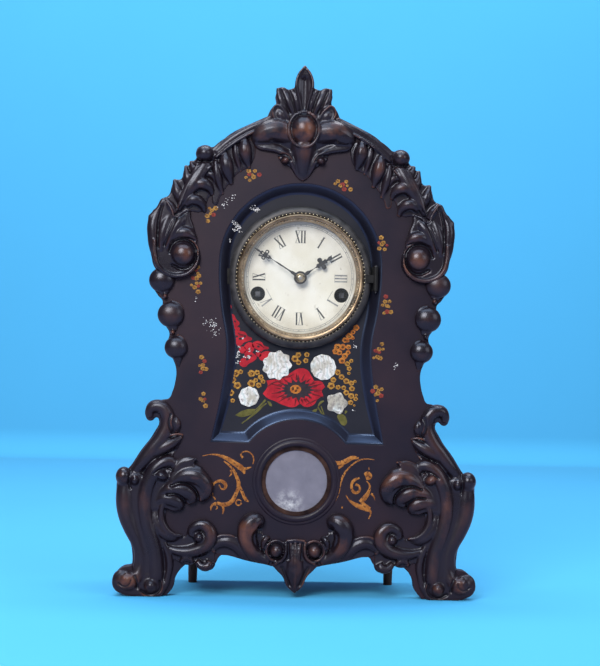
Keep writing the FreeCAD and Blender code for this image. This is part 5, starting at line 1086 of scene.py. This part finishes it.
for count, reach, level, size in bezel["rows"].values():
    part = bmesh.new()
    place = Matrix.Translation((reach, level, 0))
    bmesh.ops.create_icosphere(part, subdivisions=1, radius=size, matrix=place)
    bmesh.ops.spin(part, geom=part.verts[:] + part.edges[:] + part.faces[:], cent=(0, 0, 0), axis=(0, 1, 0),
                   angle=tau * (count - 1) / count, steps=count - 1, use_duplicate=True)
    joinShapes(beadShape, part, atSpot(spots["dial"]))
finishPiece("bezelBeads", beadShape, "paleBrass", "bezel_door", sharps["beads"])

# Dial print: worn roman numerals, heavy strokes dark and light strokes faded, and a minute track.
dial = {"low": 31.0, "high": 42.0, "heavy": 1.35, "light": 0.5, "serif": 0.3, "step": 2.7, "letter": 4.6,
        "face": -33.0, "ink": 0.06, "under": 0.02, "track": (46.2, 47.7), "line": 0.18, "minute": 0.28,
        "five": 0.55, "holeAt": (37.2, -14.9), "holeClear": 7.6, "faded": (3, 4, 8),
        "numerals": ["XII", "I", "II", "III", "IIII", "V", "VI", "VII", "VIII", "IX", "X", "XI"]}


# A stroke of ink, left out where it would cross a winding hole.
def addBar(shape, hour, start, end, width):
    out = Matrix.Rotation(-tau * hour / 12, 4, "Z")
    first, last = Vector(start + (0,)), Vector(end + (0,))
    run = last - first
    for side in (-1, 1):
        hole = Vector((side * dial["holeAt"][0], dial["holeAt"][1], 0))
        if min((out @ first.lerp(last, step / 6) - hole).length for step in range(7)) < dial["holeClear"]:
            return
    place = Matrix.Translation((first + last) / 2) @ Matrix.Rotation(atan2(run.y, run.x), 4, "Z")
    place = Matrix.Translation((*spots["dial"], 0)) @ out @ place
    place = place @ Matrix.Diagonal((run.length, width, dial["ink"], 1))
    bmesh.ops.create_cube(shape, size=1.0, matrix=place)


heavyInk, lightInk = bmesh.new(), bmesh.new()
low, high = dial["low"], dial["high"]
for hour, word in enumerate(dial["numerals"]):
    spans = [dial["letter"] if letter in "VX" else dial["step"] for letter in word]
    left = -sum(spans) / 2
    heavy = lightInk if hour in dial["faded"] else heavyInk
    for letter, span in zip(word, spans):
        mid, reach = left + span / 2, span * 0.36
        top = 0 if letter == "I" else reach  # how far a stroke starts from the middle, and ends past it
        foot = reach if letter == "X" else 0
        addBar(heavy, hour, (mid - top, high), (mid + foot, low), dial["heavy"])
        if letter != "I":
            addBar(lightInk, hour, (mid + top, high), (mid - foot, low), dial["light"])
        left += span
    reach = sum(spans) / 2 - dial["serif"]
    for edge in (low, high):
        addBar(lightInk, hour, (-reach, edge), (reach, edge), dial["serif"])
for minute in range(60):
    width = dial["five"] if minute % 5 == 0 else dial["minute"]
    addBar(lightInk, minute / 5, (0, dial["track"][0]), (0, dial["track"][1]), width)
for shape in (heavyInk, lightInk):
    bmesh.ops.transform(shape, matrix=standUp(dial["face"] - dial["ink"] / 2), verts=shape.verts)
for reach in dial["track"]:
    inner, outer = reach - dial["line"], reach + dial["line"]
    under, front = dial["face"] + dial["under"], dial["face"] - dial["ink"]
    addTurned(lightInk, [(inner, under), (inner, front), (outer, front), (outer, under)], spots["dial"])
finishPiece("dialNumerals", heavyInk, "numeralInk", sharp=sharps["ink"])
finishPiece("dialTrack", lightInk, "trackInk", sharp=sharps["ink"])

# Hands: half outlines as (distance from the hub, half width); the minute hand's cross is pierced.
hands = {"hourHand": {"body": "hour_set", "node": "hour_hand", "turn": 56.0, "front": -37.6, "back": -36.8,
    "half": [(-5.4, 0), (-3.8, 3.8), (0, 5.4), (3.9, 3.7), (5.3, 1.7), (8.2, 1.6), (10.4, 0.9), (17.6, 0.8),
    (18.6, 2.0), (20.4, 1.7), (21.2, 1.9), (20.8, 3.6), (21.4, 5.2), (23, 5.7), (24.6, 5.2), (25.2, 3.6),
    (24.8, 1.9), (25.8, 1.7), (27.6, 2.0), (28.4, 0.9), (31, 1.7), (34.6, 1.5, 1), (33.4, 0, 1)],
    "holes": [(0, 0, 2.4)]},
    "minuteHand": {"body": "minute_set", "node": "minute_hand", "turn": 302.0, "front": -40.4, "back": -39.6,
        "half": [(-5.8, 0), (-4.1, 4.1), (0, 5.8), (4.2, 4.0), (5.7, 1.5), (8.5, 1.35), (10.2, 0.8),
        (22, 0.7), (31.6, 0.65), (32.6, 1.7), (34.2, 1.5), (35.4, 1.6), (35.2, 3.0), (35.6, 4.4), (37.0, 4.9),
        (38.4, 4.4), (38.8, 3.0), (38.6, 1.6), (39.8, 1.5), (41.4, 1.7), (42.2, 0.6), (44, 1.0),
        (49.0, 0, 1)], "holes": [(0, 0, 1.4), (34.4, 0, 0.7), (39.6, 0, 0.7), (37, 3.1, 0.8),
        (37, -3.1, 0.8)]}}


# A point of a hand, from its distance along and across to its place on the dial.
def onHand(turn, along, across, *corner):
    x, y = spots["dial"]
    return (x + along * sin(turn) + across * cos(turn),
            y + along * cos(turn) - across * sin(turn)) + corner


for name, hand in hands.items():
    turn = radians(hand["turn"])
    half = hand["half"]
    whole = half + [(point[0], -point[1]) + tuple(point[2:]) for point in reversed(half) if point[1] > 0]
    loops = [[onHand(turn, *point) for point in whole]]
    loops += [circleLoop(onHand(turn, along, across), reach, 10) for along, across, reach in hand["holes"]]
    handShape = bmesh.new()
    addSlab(handShape, loops, hand["front"], hand["back"], 0.12, 4)
    finishPiece(name, handShape, "handBlack", hand["body"], sharps["hand"], (hand["node"],))
collet = [(1.25, -40.4), (4.2, -40.4), (4.2, -41.5), (3.9, -41.8), (3.3, -41.8), (3.0, -41.4), (2.0, -41.4),
          (1.8, -42.2), (1.25, -42.4)]
turnedPiece("handCollet", collet, spots["dial"], "paleBrass", "minute_set", ("hand_collet",), 48)
print("dial, bezel and hands made")


def aimed(at, aim):
    looking = Vector(aim) - Vector(at)
    return Matrix.Translation(at) @ looking.to_track_quat("-Z", "Y").to_matrix().to_4x4()


# Camera at eye height, a little to the left.
cameraView = {"at": (-0.0695, -1.633, 0.240), "aim": (0.0005, -0.045, 0.234), "roll": 1.15, "lens": 108.0}
cameraData = bpy.data.cameras.new("photoCamera")
cameraData.sensor_fit = "HORIZONTAL"
cameraData.sensor_width = 36.0
cameraData.lens = cameraView["lens"]
camera = linked("photoCamera", cameraData)
roll = Matrix.Rotation(radians(cameraView["roll"]), 4, "Z")
camera.matrix_world = aimed(cameraView["at"], cameraView["aim"]) @ roll
scene.camera = camera

# Floor and wall in one sheet with a soft bend between them.
ground = {"width": 6.8, "front": -3.4, "wall": 1.57, "height": 4.0, "bend": 0.05, "fade": 0.95,
          "colour": (0.078, 0.44, 0.78), "bounce": (0.26, 0.30, 0.44)}


# The ground shows its blue to the camera, and lights the clock a softer grey blue.
def makePaleGround(name):
    tree = newMaterial(name, {"Specular IOR Level": 0.2})
    cloud = placeMottle(tree, 1.6, 60.0, 0.8, 0.9)
    faded = tuple(share * ground["fade"] for share in ground["colour"])
    shown = mixColour(tree, cloud["Cloud"], ground["colour"], faded)
    path = addNode(tree, "LightPath", {}).outputs
    seen = addMaths(tree, "MAXIMUM", path["Is Camera Ray"], path["Is Transmission Ray"])
    dress(tree, mixColour(tree, seen, ground["bounce"], shown), 0.85)
    # the back of the sheet is left clear, so that the clock shows from behind
    side = addNode(tree, "NewGeometry", {}).outputs["Backfacing"]
    clear = addNode(tree, "BsdfTransparent", {}).outputs[0]
    oneSided = addNode(tree, "MixShader", {0: side, 1: tree.nodes["Principled BSDF"].outputs[0], 2: clear})
    feed(tree, tree.nodes["Material Output"], {"Surface": oneSided.outputs[0]})


makePaleGround("paleBlue")
sheet = bmesh.new()
for vert in bmesh.ops.create_grid(sheet, x_segments=1, y_segments=1, size=0.5)["verts"]:
    vert.co = (vert.co.x * ground["width"], ground["front"] if vert.co.y < 0 else ground["wall"], 0)
far = [e for e in sheet.edges if all(v.co.y > 0 for v in e.verts)]
risen = bmesh.ops.extrude_edge_only(sheet, edges=far)["geom"]
risen = [part for part in risen if isinstance(part, bmesh.types.BMVert)]
bmesh.ops.translate(sheet, vec=(0, 0, ground["height"]), verts=risen)
bmesh.ops.bevel(sheet, geom=far, offset=ground["bend"], affect="EDGES", segments=8, profile=0.5, material=-1)
bmesh.ops.recalc_face_normals(sheet, faces=sheet.faces)
if any(f.normal.z < -0.5 for f in sheet.faces):
    bmesh.ops.reverse_faces(sheet, faces=sheet.faces)
groundMesh = meshOf("studioGround", sheet)
groundMesh.shade_smooth()
groundMesh.materials.append(made["paleBlue"])
studioGround = linked("studioGround", groundMesh)

# The air lights the clock pale, and shows blue to the camera.
world = bpy.data.worlds.new("studioAir")
scene.world = world
world.use_nodes = True
airTree = world.node_tree
airLight = airTree.nodes["Background"]
feed(airTree, airLight, {"Color": (0.86, 0.93, 1.0), "Strength": 0.15})
airSeen = addNode(airTree, "Background", {"Color": (0.078, 0.40, 0.72), "Strength": 0.9})
airPath = addNode(airTree, "LightPath", {}).outputs["Is Camera Ray"]
airMix = addNode(airTree, "MixShader", {0: airPath, 1: airLight.outputs[0], 2: airSeen.outputs[0]})
feed(airTree, airTree.nodes["World Output"], {"Surface": airMix.outputs[0]})

# Soft lamps: at, aim, size, power and colour. The main light comes from above on the left.
lamps = {"keyLamp": ((-0.6, -1.75, 1.25), (0, 0, 0.25), (0.95, 0.95), 43.0, (1.0, 0.98, 0.94)),
         "topLamp": ((0.0, -0.5, 1.5), (0, -0.05, 0.2), (1.5, 0.7), 12.0, (0.66, 0.82, 1.0)),
         "fillLamp": ((1.5, -1.3, 0.9), (0, 0, 0.25), (0.9, 0.9), 7.0, (0.93, 0.96, 1.0)),
         "wallLamp": ((0.0, 0.35, 2.4), (0, 1.5, 0.5), (2.4, 0.6), 60.0, (0.97, 0.99, 1.0))}
for name, (at, aim, size, power, colour) in lamps.items():
    data = bpy.data.lights.new(name, "AREA")
    data.shape = "RECTANGLE"
    data.size, data.size_y = size
    data.energy = power
    data.color = colour
    linked(name, data).matrix_world = aimed(at, aim)
scene.view_settings.view_transform = "Standard"
print("camera and light set")
